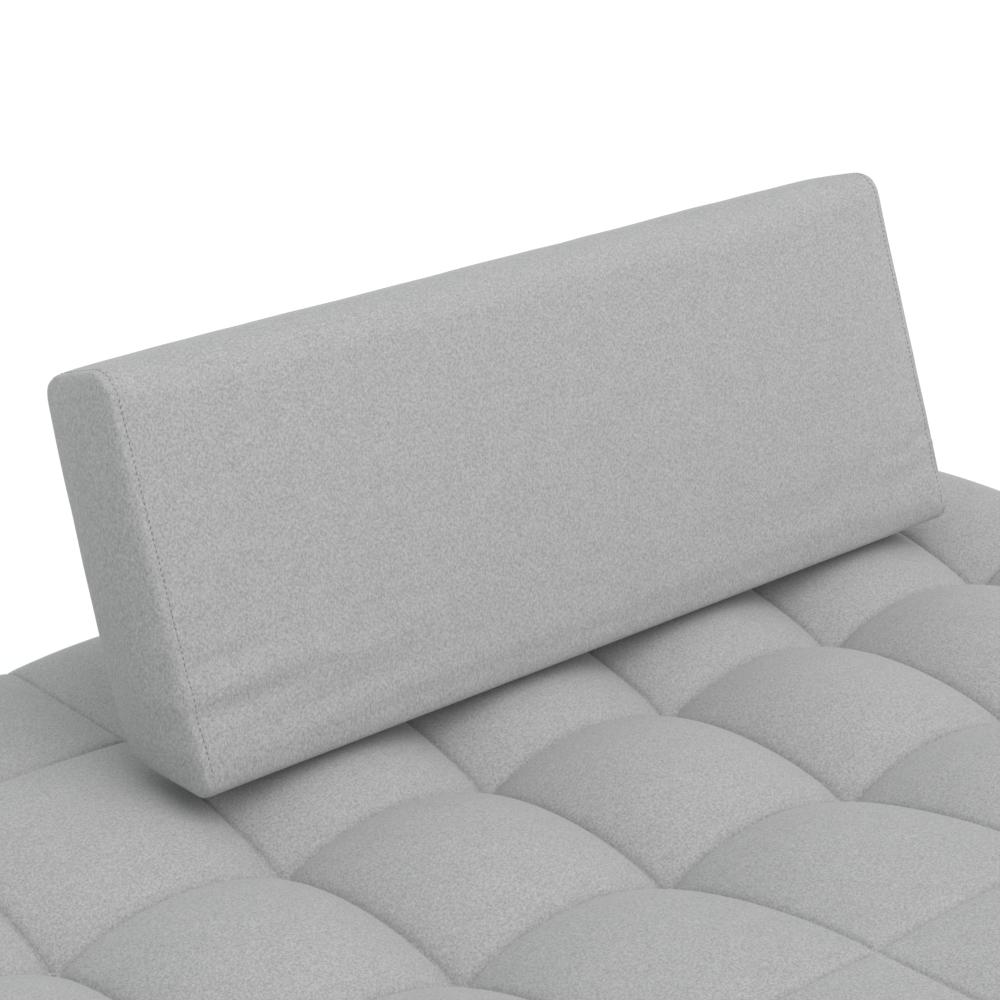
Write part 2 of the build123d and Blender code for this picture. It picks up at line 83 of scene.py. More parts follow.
class Graph:
    """A thin helper that adds and links nodes in one node tree."""

    def __init__(self, tree: bpy.types.NodeTree) -> None:
        """Keep the tree that the nodes go into.

        Args:
            tree: A material's or a group's node tree.
        """
        self.tree = tree

    def add(self, kind: str, inputs: dict | None = None, **settings: object) -> bpy.types.Node:
        """Add a node, set its properties, and set or link its inputs.

        Args:
            kind: The node's type name.
            inputs: Socket name or number to a value or to another node's output.
            **settings: Properties of the node itself.

        Returns:
            The new node.
        """
        node = self.tree.nodes.new(kind)
        for name, value in settings.items():
            setattr(node, name, value)
        for key, value in (inputs or {}).items():
            if isinstance(value, bpy.types.NodeSocket):
                self.tree.links.new(value, node.inputs[key])
            else:
                node.inputs[key].default_value = value
        return node

    def noise(self, vector: bpy.types.NodeSocket, scale: float, detail: float = 2.0,
              rough: float = 0.5) -> bpy.types.NodeSocket:
        """Add a noise texture.

        Args:
            vector: Where the texture is read.
            scale: Features per metre.
            detail: Octaves.
            rough: How strong each finer octave is.

        Returns:
            The noise value.
        """
        inputs = {"Vector": vector, "Scale": scale, "Detail": detail, "Roughness": rough}
        return self.add("ShaderNodeTexNoise", inputs).outputs["Fac"]

    def cells(self, vector: bpy.types.NodeSocket, per_metre: bpy.types.NodeSocket, randomness: float = 1.0,
              distance: str = "EUCLIDEAN") -> bpy.types.NodeSocket:
        """Add a cell texture whose fineness comes from a socket.

        Args:
            vector: Where the texture is read.
            per_metre: The socket that gives the number of cells per metre.
            randomness: How far the cells stray from a plain grid, 0 to 1.
            distance: The way in which distances are measured.

        Returns:
            The distance from each cell's centre.
        """
        scaled = self.add("ShaderNodeVectorMath", {0: vector, "Scale": per_metre}, operation="SCALE")
        inputs = {"Vector": scaled.outputs[0], "Scale": 1.0, "Randomness": randomness}
        return self.add("ShaderNodeTexVoronoi", inputs, distance=distance).outputs["Distance"]

    def sum(self, first: object, first_share: float, second: object,
            second_share: float) -> bpy.types.NodeSocket:
        """Add two values, each by its share.

        Args:
            first: The first value.
            first_share: What the first is multiplied by.
            second: The second value.
            second_share: What the second is multiplied by.

        Returns:
            The sum.
        """
        parts = self.math("MULTIPLY", first, first_share), self.math("MULTIPLY", second, second_share)
        return self.math("ADD", *parts)

    def lift(self, base: float, value: object, share: float) -> bpy.types.NodeSocket:
        """Add a share of a value to a constant."""
        return self.math("ADD", base, self.math("MULTIPLY", value, share))

    def stretch(self, vector: bpy.types.NodeSocket, scale: Point,
                turn: Point = (0, 0, 0)) -> bpy.types.NodeSocket:
        """Scale and turn a vector.

        Args:
            vector: The vector to change.
            scale: Factor on each axis.
            turn: Turn about each axis, in radians.

        Returns:
            The changed vector.
        """
        made = self.add("ShaderNodeMapping", {"Vector": vector, "Scale": scale, "Rotation": turn})
        return made.outputs["Vector"]

    def math(self, operation: str, *values: object) -> bpy.types.NodeSocket:
        """Add a math node.

        Args:
            operation: The math node's operation.
            *values: Its inputs in order, as numbers or sockets.

        Returns:
            The result.
        """
        return self.add("ShaderNodeMath", dict(enumerate(values)), operation=operation).outputs[0]

    def ramp(self, value: bpy.types.NodeSocket, low: float, high: float) -> bpy.types.NodeSocket:
        """Stretch the part of a value between two limits to 0 to 1.

        Args:
            value: The value to map.
            low: What becomes 0.
            high: What becomes 1.

        Returns:
            The mapped value.
        """
        inputs = {"Value": value, "From Min": low, "From Max": high}
        return self.add("ShaderNodeMapRange", inputs, interpolation_type="SMOOTHSTEP").outputs["Result"]

    def mix(self, share: object, first: object, second: object) -> bpy.types.NodeSocket:
        """Mix two colours.

        Args:
            share: How much of the second, 0 to 1.
            first: A colour or a colour socket.
            second: A colour or a colour socket.

        Returns:
            The mixed colour.
        """
        node = self.tree.nodes.new("ShaderNodeMix")
        node.data_type = "RGBA"
        for socket, value in ((node.inputs[0], share), (node.inputs[6], first), (node.inputs[7], second)):
            if isinstance(value, bpy.types.NodeSocket):
                self.tree.links.new(value, socket)
            else:
                socket.default_value = (*value, 1.0) if isinstance(value, tuple) else value
        return node.outputs[2]


class Effect:
    """A shader node group that several finishes share. It is built once, on first use."""

    name: str = ""
    numbers: tuple[str, ...] = ()
    colours: tuple[str, ...] = ()

    @classmethod
    def tree(cls) -> bpy.types.NodeTree:
        """Return the group's tree, building it the first time.

        Returns:
            The node group.
        """
        found = bpy.data.node_groups.get(cls.name)
        if found:
            return found
        tree = bpy.data.node_groups.new(cls.name, "ShaderNodeTree")
        for label in cls.colours:
            tree.interface.new_socket(label, in_out="INPUT", socket_type="NodeSocketColor")
        for label in cls.numbers:
            tree.interface.new_socket(label, in_out="INPUT", socket_type="NodeSocketFloat")
        for label, kind in (("Colour", "Color"), ("Roughness", "Float"), ("Height", "Float")):
            tree.interface.new_socket(label, in_out="OUTPUT", socket_type=f"NodeSocket{kind}")
        graph = Graph(tree)
        entry = tree.nodes.new("NodeGroupInput")
        leave = tree.nodes.new("NodeGroupOutput")
        place = tree.nodes.new("ShaderNodeTexCoord").outputs["Object"]
        for label, socket in cls.wire(graph, entry, place).items():
            tree.links.new(socket, leave.inputs[label])
        return tree

    @classmethod
    def wire(cls, graph: Graph, entry: bpy.types.Node, place: bpy.types.NodeSocket) -> dict:
        """Build the nodes between the group's inputs and outputs.

        Args:
            graph: The group's graph.
            entry: The group's input node.
            place: Object coordinates, in metres.

        Returns:
            Output name to the socket that feeds it.
        """
        raise NotImplementedError


class FeltEffect(Effect):
    """Wool-like melange felt: pale and dark fibres pressed together, with soft clouds."""

    name = "felt_fibre"
    colours = ("Pale", "Dark")
    numbers = ("Cloud",)

    @classmethod
    def wire(cls, graph: Graph, entry: bpy.types.Node, place: bpy.types.NodeSocket) -> dict:
        """Lay three directions of short fibres over flecks and clouds.

        Args:
            graph: The group's graph.
            entry: The group's input node.
            place: Object coordinates, in metres.

        Returns:
            Output name to the socket that feeds it.
        """
        turns = ((0.3, 0.2, 0.0), (1.1, 0.4, 0.9), (0.5, 1.3, 2.1))
        fibres = [graph.noise(graph.stretch(place, (1.0, 1.0, 0.3), turn), 900.0, 2.0, 0.6) for turn in turns]
        total = graph.math("ADD", graph.math("ADD", fibres[0], fibres[1]), fibres[2])
        fibre = graph.math("MULTIPLY", total, 1 / len(fibres))
        fleck = graph.noise(place, 560.0, 3.0, 0.7)
        cloud = graph.noise(place, 55.0, 2.0, 0.5)
        share = graph.ramp(graph.sum(fibre, 0.55, fleck, 0.45), 0.38, 0.62)
        cloudy = graph.math("MULTIPLY", graph.math("SUBTRACT", cloud, 0.5), entry.outputs["Cloud"])
        share = graph.math("ADD", share, cloudy)
        colour = graph.mix(share, entry.outputs["Dark"], entry.outputs["Pale"])
        slant = graph.stretch(place, (1.0, 0.4, 1.0), (0.7, 0.1, 0.4))
        speck = graph.ramp(graph.noise(slant, 520.0, 1.0), 0.70, 0.78)
        colour = graph.mix(graph.math("MULTIPLY", speck, 0.35), colour, entry.outputs["Pale"])
        height = graph.sum(fibre, 0.6, fleck, 0.4)
        return {"Colour": colour, "Roughness": graph.lift(0.86, fibre, 0.12), "Height": height}


class GrainEffect(Effect):
    """Planed timber: long rings and fine pores, squeezed along each axis by its own factor."""

    name = "timber_grain"
    colours = ("Early", "Late")
    numbers = ("Along X", "Along Y", "Along Z", "Pores")

    @classmethod
    def wire(cls, graph: Graph, entry: bpy.types.Node, place: bpy.types.NodeSocket) -> dict:
        """Stretch noise and rings along the grain given by the three factors.

        Args:
            graph: The group's graph.
            entry: The group's input node.
            place: Object coordinates, in metres.

        Returns:
            Output name to the socket that feeds it.
        """
        factors = graph.add("ShaderNodeCombineXYZ", {
            "X": entry.outputs["Along X"], "Y": entry.outputs["Along Y"], "Z": entry.outputs["Along Z"]})
        squeeze = {0: place, 1: factors.outputs[0]}
        run = graph.add("ShaderNodeVectorMath", squeeze, operation="MULTIPLY").outputs[0]
        drift = graph.noise(run, 14.0, 2.0, 0.5)
        streaks = {"Vector": run, "Scale": 120.0, "Detail": 5.0, "Roughness": 0.5, "Distortion": 0.25}
        rings = graph.add("ShaderNodeTexNoise", streaks).outputs["Fac"]
        band = graph.ramp(graph.math("ADD", rings, graph.math("MULTIPLY", drift, 0.3)), 0.5, 0.82)
        pore = graph.ramp(graph.noise(run, 420.0, 2.0, 0.5), 0.62, 0.72)
        colour = graph.mix(band, entry.outputs["Early"], entry.outputs["Late"])
        dark = graph.math("MULTIPLY", pore, entry.outputs["Pores"])
        colour = graph.mix(dark, colour, (0.09, 0.05, 0.025))
        height = graph.sum(rings, 0.4, pore, -0.6)
        return {"Colour": colour, "Roughness": graph.lift(0.42, rings, 0.2), "Height": height}


class MetalEffect(Effect):
    """Plated or painted steel with cloudy tone, fine drag lines and a few dull spots."""

    name = "metal_face"
    colours = ("Tone", "Dull")
    numbers = ("Rough",)

    @classmethod
    def wire(cls, graph: Graph, entry: bpy.types.Node, place: bpy.types.NodeSocket) -> dict:
        """Mix tone and dull by clouds, with drag lines for height.

        Args:
            graph: The group's graph.
            entry: The group's input node.
            place: Object coordinates, in metres.

        Returns:
            Output name to the socket that feeds it.
        """
        cloud = graph.ramp(graph.noise(place, 130.0, 3.0, 0.6), 0.35, 0.75)
        lines = graph.noise(graph.stretch(place, (1.0, 0.05, 1.0)), 1800.0, 2.0)
        colour = graph.mix(cloud, entry.outputs["Tone"], entry.outputs["Dull"])
        rough = graph.math("ADD", entry.outputs["Rough"], graph.math("MULTIPLY", cloud, 0.18))
        height = graph.math("ADD", lines, graph.math("MULTIPLY", cloud, 0.5))
        return {"Colour": colour, "Roughness": rough, "Height": height}


class WeaveEffect(Effect):
    """A plain weave of crossing yarns, for lining, tape and twine."""

    name = "plain_weave"
    colours = ("Yarn", "Gap")
    numbers = ("Yarns",)

    @classmethod
    def wire(cls, graph: Graph, entry: bpy.types.Node, place: bpy.types.NodeSocket) -> dict:
        """Cross two sets of yarns and add a little slub.

        Args:
            graph: The group's graph.
            entry: The group's input node.
            place: Object coordinates, in metres.

        Returns:
            Output name to the socket that feeds it.
        """
        cell = graph.cells(place, entry.outputs["Yarns"], 0.15, "CHEBYCHEV")
        yarn = graph.ramp(cell, 0.52, 0.2)
        slub = graph.noise(place, 210.0, 3.0, 0.6)
        share = graph.math("MULTIPLY", yarn, graph.lift(0.55, slub, 0.7))
        colour = graph.mix(share, entry.outputs["Gap"], entry.outputs["Yarn"])
        return {"Colour": colour, "Roughness": graph.lift(0.8, slub, 0.15), "Height": yarn}


class FoamEffect(Effect):
    """Open-cell foam: fine round pores and a slight yellowing."""

    name = "foam_cells"
    colours = ("Wall", "Pore")
    numbers = ("Cells",)

    @classmethod
    def wire(cls, graph: Graph, entry: bpy.types.Node, place: bpy.types.NodeSocket) -> dict:
        """Darken cell centres and cloud the tone.

        Args:
            graph: The group's graph.
            entry: The group's input node.
            place: Object coordinates, in metres.

        Returns:
            Output name to the socket that feeds it.
        """
        cell = graph.cells(place, entry.outputs["Cells"])
        pore = graph.ramp(cell, 0.45, 0.1)
        cloud = graph.noise(place, 18.0, 2.0)
        share = graph.math("MULTIPLY", pore, graph.lift(0.5, cloud, 0.6))
        colour = graph.mix(share, entry.outputs["Wall"], entry.outputs["Pore"])
        height = graph.math("SUBTRACT", 1.0, pore)
        return {"Colour": colour, "Roughness": graph.lift(0.82, cell, 0.12), "Height": height}


class Grain(Enum):
    """Which way a timber piece's grain runs, as the squeeze along each axis."""

    LENGTHWISE = (0.022, 1.0, 1.0)
    CROSSWISE = (1.0, 0.022, 1.0)
    UPRIGHT = (1.0, 1.0, 0.03)


# ---------------------------------------------------------------------------
# Finishes
# ---------------------------------------------------------------------------


@dataclass(frozen=True)
class Finish:
    """One surface finish: an effect with its own values, and the shader's constants."""

    name: str
    effect: type[Effect]
    colours: tuple[Colour, ...]
    numbers: tuple[float, ...] = ()
    metallic: float = 0.0
    sheen: float = 0.0
    coat: float = 0.0
    bump: float = 0.4
    relief: float = 0.3 * MM

    def material(self) -> bpy.types.Material:
        """Return the finish's material, making it the first time.

        Returns:
            The material, with its shader in its own tree and the effect as a group.
        """
        found = bpy.data.materials.get(self.name)
        if found:
            return found
        made = bpy.data.materials.new(self.name)
        made.use_nodes = True
        tree = made.node_tree
        shader = tree.nodes["Principled BSDF"]
        group = tree.nodes.new("ShaderNodeGroup")
        group.node_tree = self.effect.tree()
        for label, colour in zip(self.effect.colours, self.colours):
            group.inputs[label].default_value = (*colour, 1.0)
        for label, number in zip(self.effect.numbers, self.numbers):
            group.inputs[label].default_value = number
        bump = tree.nodes.new("ShaderNodeBump")
        bump.inputs["Strength"].default_value = self.bump
        bump.inputs["Distance"].default_value = self.relief
        for source, target in ((group.outputs["Colour"], shader.inputs["Base Color"]),
                               (group.outputs["Roughness"], shader.inputs["Roughness"]),
                               (group.outputs["Height"], bump.inputs["Height"]),
                               (bump.outputs["Normal"], shader.inputs["Normal"])):
            tree.links.new(source, target)
        shader.inputs["Metallic"].default_value = self.metallic
        shader.inputs["Sheen Weight"].default_value = self.sheen
        shader.inputs["Sheen Roughness"].default_value = 0.5
        shader.inputs["Coat Weight"].default_value = self.coat
        shader.inputs["Coat Roughness"].default_value = 0.3
        made.diffuse_color = (*self.colours[0], 1.0)
        return made

    def dress(self, *pieces: bpy.types.Object) -> None:
        """Give the finish to pieces, in place of whatever they have.

        Args:
            *pieces: Objects to dress.
        """
        for piece in pieces:
            piece.data.materials.clear()
            piece.data.materials.append(self.material())


def timber(name: str, early: Colour, late: Colour, grain: Grain, pores: float) -> Finish:
    """Make a timber finish with its grain in one direction.

    Args:
        name: The finish's name.
        early: The paler wood between the rings.
        late: The darker wood of the rings.
        grain: The direction of the grain.
        pores: How dark the pores are, 0 to 1.

    Returns:
        The finish.
    """
    full = f"{name}_{grain.name.lower()}"
    numbers = (*grain.value, pores)
    return Finish(full, GrainEffect, (early, late), numbers, coat=0.12, bump=0.25, relief=0.2 * MM)


def bright_metal(name: str, tone: Colour, dull: Colour, rough: float) -> Finish:
    """Make a plated or bare metal finish.

    Args:
        name: The finish's name.
        tone: The clean metal.
        dull: The metal in its dull clouds.
        rough: Roughness where it is clean.

    Returns:
        The finish.
    """
    return Finish(name, MetalEffect, (tone, dull), (rough,), metallic=0.95, bump=0.15)


OAK_TONES: tuple[Colour, Colour] = ((0.50, 0.335, 0.19), (0.33, 0.20, 0.10))
BEECH_TONES: tuple[Colour, Colour] = ((0.62, 0.45, 0.30), (0.52, 0.35, 0.22))
PINE_TONES: tuple[Colour, Colour] = ((0.66, 0.49, 0.28), (0.50, 0.31, 0.15))

FELT = Finish("grey_felt", FeltEffect, ((0.472, 0.473, 0.468), (0.292, 0.295, 0.294)), (0.2,), sheen=0.18,
              bump=0.35, relief=0.35 * MM)
THREAD = Finish("seam_thread", WeaveEffect, ((0.30, 0.30, 0.295), (0.19, 0.19, 0.19)), (2500.0,), bump=0.5,
                relief=0.1 * MM)
LINING = Finish("base_cloth", WeaveEffect, ((0.075, 0.075, 0.08), (0.03, 0.03, 0.032)), (700.0,), bump=0.5)
TAPE = Finish("zip_tape", WeaveEffect, ((0.24, 0.24, 0.235), (0.13, 0.13, 0.13)), (1300.0,), bump=0.5)
TWINE = Finish("tufting_twine", WeaveEffect, ((0.60, 0.57, 0.50), (0.34, 0.31, 0.26)), (1500.0,), bump=0.6)
FOAM = Finish("cream_foam", FoamEffect, ((0.78, 0.70, 0.50), (0.52, 0.45, 0.30)), (650.0,), bump=0.6)
RUBBER = Finish("grip_rubber", FoamEffect, ((0.05, 0.05, 0.05), (0.02, 0.02, 0.02)), (420.0,), bump=0.4)
ZINC = bright_metal("zinc_plate", (0.62, 0.62, 0.60), (0.45, 0.45, 0.44), 0.28)
BRASS = bright_metal("plain_brass", (0.72, 0.52, 0.24), (0.50, 0.35, 0.16), 0.28)
NICKEL = bright_metal("zip_nickel", (0.50, 0.50, 0.51), (0.33, 0.33, 0.34), 0.25)
BLACK_STEEL = Finish("black_steel", MetalEffect, ((0.035, 0.035, 0.037), (0.06, 0.06, 0.062)), (0.42,),
                     metallic=0.4, bump=0.2)
NYLON = Finish("dark_nylon", MetalEffect, ((0.045, 0.042, 0.04), (0.07, 0.066, 0.062)), (0.5,), bump=0.25)
OAK_LONG = timber("oak", *OAK_TONES, Grain.LENGTHWISE, 0.5)
OAK_CROSS = timber("oak", *OAK_TONES, Grain.CROSSWISE, 0.5)
OAK_UPRIGHT = timber("oak", *OAK_TONES, Grain.UPRIGHT, 0.5)
BEECH_CROSS = timber("beech", *BEECH_TONES, Grain.CROSSWISE, 0.35)
PINE_LONG = timber("pine", *PINE_TONES, Grain.LENGTHWISE, 0.1)
PINE_UPRIGHT = timber("pine", *PINE_TONES, Grain.UPRIGHT, 0.1)
PLY_LONG = timber("plywood", (0.60, 0.46, 0.31), (0.45, 0.32, 0.20), Grain.LENGTHWISE, 0.2)


# ---------------------------------------------------------------------------
# Mesh helpers
# ---------------------------------------------------------------------------


def link(piece: bpy.types.Object) -> None:
    """Put an object into the scene."""
    bpy.context.scene.collection.objects.link(piece)


def make_piece(name: str, bm: bmesh.types.BMesh, finish: Finish, smooth: bool = True) -> bpy.types.Object:
    """Turn a bmesh into an object at the origin and dress it.

    Args:
        name: The piece's name.
        bm: The mesh, in place. It is freed.
        finish: The surface finish.
        smooth: Whether faces shade smoothly.

    Returns:
        The new object.
    """
    mesh = bpy.data.meshes.new(name)
    for face in bm.faces:
        face.smooth = smooth
    bm.to_mesh(mesh)
    bm.free()
    piece = bpy.data.objects.new(name, mesh)
    link(piece)
    finish.dress(piece)
    return piece


def settle(piece: bpy.types.Object, body: str, slot: str, *nodes: str) -> bpy.types.Object:
    """Tie a finished piece to its body and hide the CAD nodes that it stands for.

    Args:
        piece: The new piece.
        body: The body that it moves with.
        slot: The record's material slot; not used.
        *nodes: CAD nodes that it replaces.

    Returns:
        The piece.
    """
    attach(piece, body)
    if nodes:
        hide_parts(*nodes)
    log.info("%s rides on %s, %d faces", piece.name, body, len(piece.data.polygons))
    return piece


def subdivide(piece: bpy.types.Object, levels: int = 1) -> None:
    """Add a live Subdivision Surface modifier.

    Args:
        piece: The object to smooth.
        levels: The same number for view and render.
    """
    made = piece.modifiers.new("smooth", "SUBSURF")
    made.levels = made.render_levels = levels


def apply_modifiers(piece: bpy.types.Object) -> None:
    """Replace a piece's mesh by what its modifiers make of it.

    Args:
        piece: The object to bake down.
    """
    graph = bpy.context.evaluated_depsgraph_get()
    graph.update()
    mesh = bpy.data.meshes.new_from_object(piece.evaluated_get(graph))
    mesh.name = piece.name
    old = piece.data
    piece.modifiers.clear()
    piece.data = mesh
    bpy.data.meshes.remove(old)


def close_holes(piece: bpy.types.Object) -> None:
    """Fill a piece's open rims with flat faces.

    Args:
        piece: The piece, whose mesh is changed.
    """
    bm = bmesh.new()
    bm.from_mesh(piece.data)
    rim = [edge for edge in bm.edges if edge.is_boundary]
    bmesh.ops.holes_fill(bm, edges=rim, sides=0)
    bmesh.ops.recalc_face_normals(bm, faces=bm.faces)
    bm.to_mesh(piece.data)
    bm.free()


def clamp(value: float, reach: float) -> float:
    """Keep a value within a reach on both sides of 0."""
    return max(-reach, min(reach, value))


def smoothstep(value: float) -> float:
    """Ease a value from 0 to 1, clamped at both ends."""
    t = min(1.0, max(0.0, value))
    return t * t * (3.0 - 2.0 * t)


@dataclass(frozen=True)
class ClothRun:
    """One cloth simulation of a padded cover: how hard it is blown up and how far it may move."""

    pressure: float
    frames: int
    cap: float
    tension: float = 12.0
    bending: float = 0.6

    def run(self, piece: bpy.types.Object, pinned: Iterable[int]) -> None:
        """Inflate the piece, keeping pinned points still and capping every other point's travel.

        Args:
            piece: The mesh object to simulate. Its mesh is changed in place.
            pinned: Indices of the points that are sewn down.
        """
        group = piece.vertex_groups.new(name="sewn")
        group.add(list(pinned), 1.0, "REPLACE")
        start = [v.co.copy() for v in piece.data.vertices]
        cloth = piece.modifiers.new("cloth", "CLOTH")
        settings = cloth.settings
        settings.quality = 6
        settings.mass = 0.25
        settings.use_pressure = True
        settings.uniform_pressure_force = self.pressure
        settings.tension_stiffness = settings.compression_stiffness = self.tension
        settings.bending_stiffness = self.bending
        settings.vertex_group_mass = group.name
        settings.pin_stiffness = 8.0
        settings.effector_weights.gravity = 0.0
        cloth.collision_settings.use_collision = False
        cloth.point_cache.frame_start = 1
        cloth.point_cache.frame_end = self.frames
        scene = bpy.context.scene
        for frame in range(1, self.frames + 1):
            scene.frame_set(frame)
        graph = bpy.context.evaluated_depsgraph_get()
        blown = [v.co.copy() for v in piece.evaluated_get(graph).data.vertices]
        piece.modifiers.remove(cloth)
        piece.vertex_groups.remove(group)
        scene.frame_set(1)
        for vertex, old, new in zip(piece.data.vertices, start, blown):
            step = new - old
            soft = self.cap * math.tanh(step.length / self.cap)
            vertex.co = old + step.normalized() * soft if step.length > 1e-9 else old
        log.info("%s: cloth inflated, travel capped at %.1f mm", piece.name, self.cap / MM)


def stations(marks: Sequence[float], step: float) -> list[float]:
    """Divide the runs between marks evenly, so that every mark is kept.

    Args:
        marks: Places that must be in the result, in rising order.
        step: The longest gap allowed.

    Returns:
        All places, in rising order.
    """
    places = [marks[0]]
    for low, high in zip(marks, marks[1:]):
        count = max(1, math.ceil((high - low) / step - 1e-6))
        places += [low + (high - low) * k / count for k in range(1, count + 1)]
    return places


def merged_copy(node: str) -> bmesh.types.BMesh:
    """Copy a CAD node's mesh with its doubled points merged.

    Args:
        node: The CAD node.

    Returns:
        The copy.
    """
    bm = bmesh.new()
    bm.from_mesh(frame["nodes"][node].data)
    bmesh.ops.remove_doubles(bm, verts=bm.verts, dist=0.005 * MM)
    return bm


def oval_stud(bm: bmesh.types.BMesh, spot: Vector, axes: tuple[Vector, Vector, Vector], radii: Point) -> None:
    """Add one small ellipsoid, for a stitch or a zip tooth.

    Args:
        bm: The mesh to add to.
        spot: Its middle.
        axes: Its own three directions.
        radii: Its half size along each of them.
    """
    matrix = Matrix.Translation(spot) @ Matrix(axes).transposed().to_4x4() @ Matrix.Diagonal((*radii, 1.0))
    bmesh.ops.create_uvsphere(bm, u_segments=6, v_segments=4, radius=1.0, matrix=matrix)


def eased(node: str, finish: Finish, body: str, slot: str, width: float) -> bpy.types.Object:
    """Make a piece with eased edges that stands for one CAD node.

    Args:
        node: The CAD node to copy and replace.
        finish: The surface finish.
        body: The body that it moves with.
        slot: The record's material slot.
        width: Width of the rounded edges.

    Returns:
        The piece.
    """
    bm = merged_copy(node)
    bmesh.ops.dissolve_limit(bm, angle_limit=math.radians(0.4), verts=bm.verts, edges=bm.edges)
    piece = make_piece(f"{node}_eased", bm, finish)
    made = piece.modifiers.new("eased_edges", "BEVEL")
    made.width = width
    made.segments = 2
    made.limit_method = "ANGLE"
    made.angle_limit = math.radians(35)
    made.use_clamp_overlap = True
    piece.modifiers.new("shading", "WEIGHTED_NORMAL").keep_sharp = False
    return settle(piece, body, slot, node)


# ---------------------------------------------------------------------------
# Mattress
# ---------------------------------------------------------------------------


@dataclass
class TuftedTop:
    """The quilted top pad: a grid of puffed squares with deep tufts, sewn to the side band below."""

    pitch: float = 190 * MM
    column_reach: float = 855 * MM
    row_reach: float = 285 * MM
    pit_depth: float = 46 * MM
    pit_extra: float = 4 * MM
    pit_radius: float = 13 * MM
    column_mid: float = 31 * MM
    row_mid: float = 24 * MM
    border_depth: float = 8 * MM
    border_mid: float = 5 * MM
    edge_depth: float = 6 * MM
    fullness: float = 2.2
    groove: float = 3.6 * MM
    groove_reach: float = 3 * MM
    corner: float = 55 * MM
    rounding: float = 48 * MM
    slack: float = 3.5 * MM
    edge_fade: float = 0.7
    flat_step: float = 14 * MM
    edge_step: float = 10.8 * MM
    half_cell: tuple[float, ...] = (0.0, 2.6, 7.0, 14.0, 24.0, 37.0, 51.0, 66.0, 81.0, 95.0)
    cloth: ClothRun = ClothRun(pressure=9.0, frames=14, cap=5 * MM)

    def __post_init__(self) -> None:
        """Read the pad's outer size and levels from the frame."""
        low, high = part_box("mattress_top_cover")
        self.half_x, self.half_y = high.x, high.y
        self.hem, self.crown = low.z, high.z
        self.arc = self.rounding * math.pi / 2
        self.lead = self.corner - self.rounding
        self.run_out = self.lead + self.arc + (self.crown - self.hem - self.rounding)

    def seam_stations(self, reach: float, half: float) -> list[float]:
        """Place the grid lines across the pad in one direction.

        Args:
            reach: The outermost seam's distance from the middle.
            half: Half the pad's size in this direction.

        Returns:
            Distances from the middle, in rising order. Past the flat part they are measured round the edge.
        """
        seams = [k * self.pitch - reach for k in range(round(2 * reach / self.pitch) + 1)]
        offsets = [o * MM for o in self.half_cell]
        last = reach + offsets[-1]
        flat = half - self.corner
        bent = flat + self.lead
        outer = stations([last, flat] if flat > last + MM else [flat], self.flat_step)
        outer += stations([flat, bent, bent + self.arc, flat + self.run_out], self.edge_step)[1:]
        inner = {round(seam + sign * o, 7) for seam in seams for o in offsets for sign in (-1, 1)}
        places = {p for p in inner if abs(p) < flat - 4 * MM}
        return sorted(places | {sign * round(o, 7) for o in outer for sign in (-1, 1)})

    def seam_depth(self, along: float, reach: float, deep: Callable[[float], float], middle: float,
                   half: float) -> float:
        """Give the depth of one seam at a place along it.

        Args:
            along: The place, from the pad's middle.
            reach: The outermost crossing on this seam.
            deep: Depth at a crossing, by the crossing's place.
            middle: Depth halfway between two inner crossings.
            half: Half the pad's size along the seam.

        Returns:
            How far the seam lies below the crown.
        """
        a = abs(along)
        if a >= reach:
            t = min(1.0, (a - reach) / (half - reach))
            return self.edge_depth + (deep(reach) - self.edge_depth) * (1 - t) ** 2
        step = (a - reach) % self.pitch
        low, high = a - step, a - step + self.pitch
        d_low, d_high = deep(abs(low)), deep(abs(high))
        if abs(d_low - d_high) < 1e-9:
            t = min(step, self.pitch - step) / (self.pitch / 2)
            return middle + (d_low - middle) * (1 - t) ** 2
        t = step / self.pitch
        return d_high + (d_low - d_high) * (1 - t) ** 2

    def depth(self, x: float, y: float) -> float:
        """Give the pad's depth below its crown, from the seams on both sides of a point.

        Args:
            x: Place along the length.
            y: Place across the width.

        Returns:
            The depth.
        """
        col = self.nearest(x, self.column_reach)
        row = self.nearest(y, self.row_reach)
        px = max(0.0, 1 - abs(x - col) / (self.pitch / 2)) ** self.fullness
        py = max(0.0, 1 - abs(y - row) / (self.pitch / 2)) ** self.fullness
        cross = self.crossing(abs(row))
        border = cross == self.border_depth
        middle = self.border_mid if border else self.row_mid
        by_column = self.seam_depth(y, self.row_reach, self.crossing, self.column_mid, self.half_y)
        by_row = self.seam_depth(x, self.column_reach, lambda _: cross, middle, self.half_x)
        total = by_column * px + by_row * py - cross * px * py
        gap = min(abs(x - col), abs(y - row))
        total += self.groove * max(0.0, 1 - gap / self.groove_reach)
        if not border:
            total += self.pit_extra * math.exp(-((x - col) ** 2 + (y - row) ** 2) / self.pit_radius ** 2)
        return total

    def crossing(self, row: float) -> float:
        """Give the depth at a column's crossing with a row."""
        return self.border_depth if row > self.row_reach - MM else self.pit_depth

    def nearest(self, value: float, reach: float) -> float:
        """Give the seam line nearest to a place."""
        index = round((value + reach) / self.pitch)
        return min(max(index, 0), round(2 * reach / self.pitch)) * self.pitch - reach

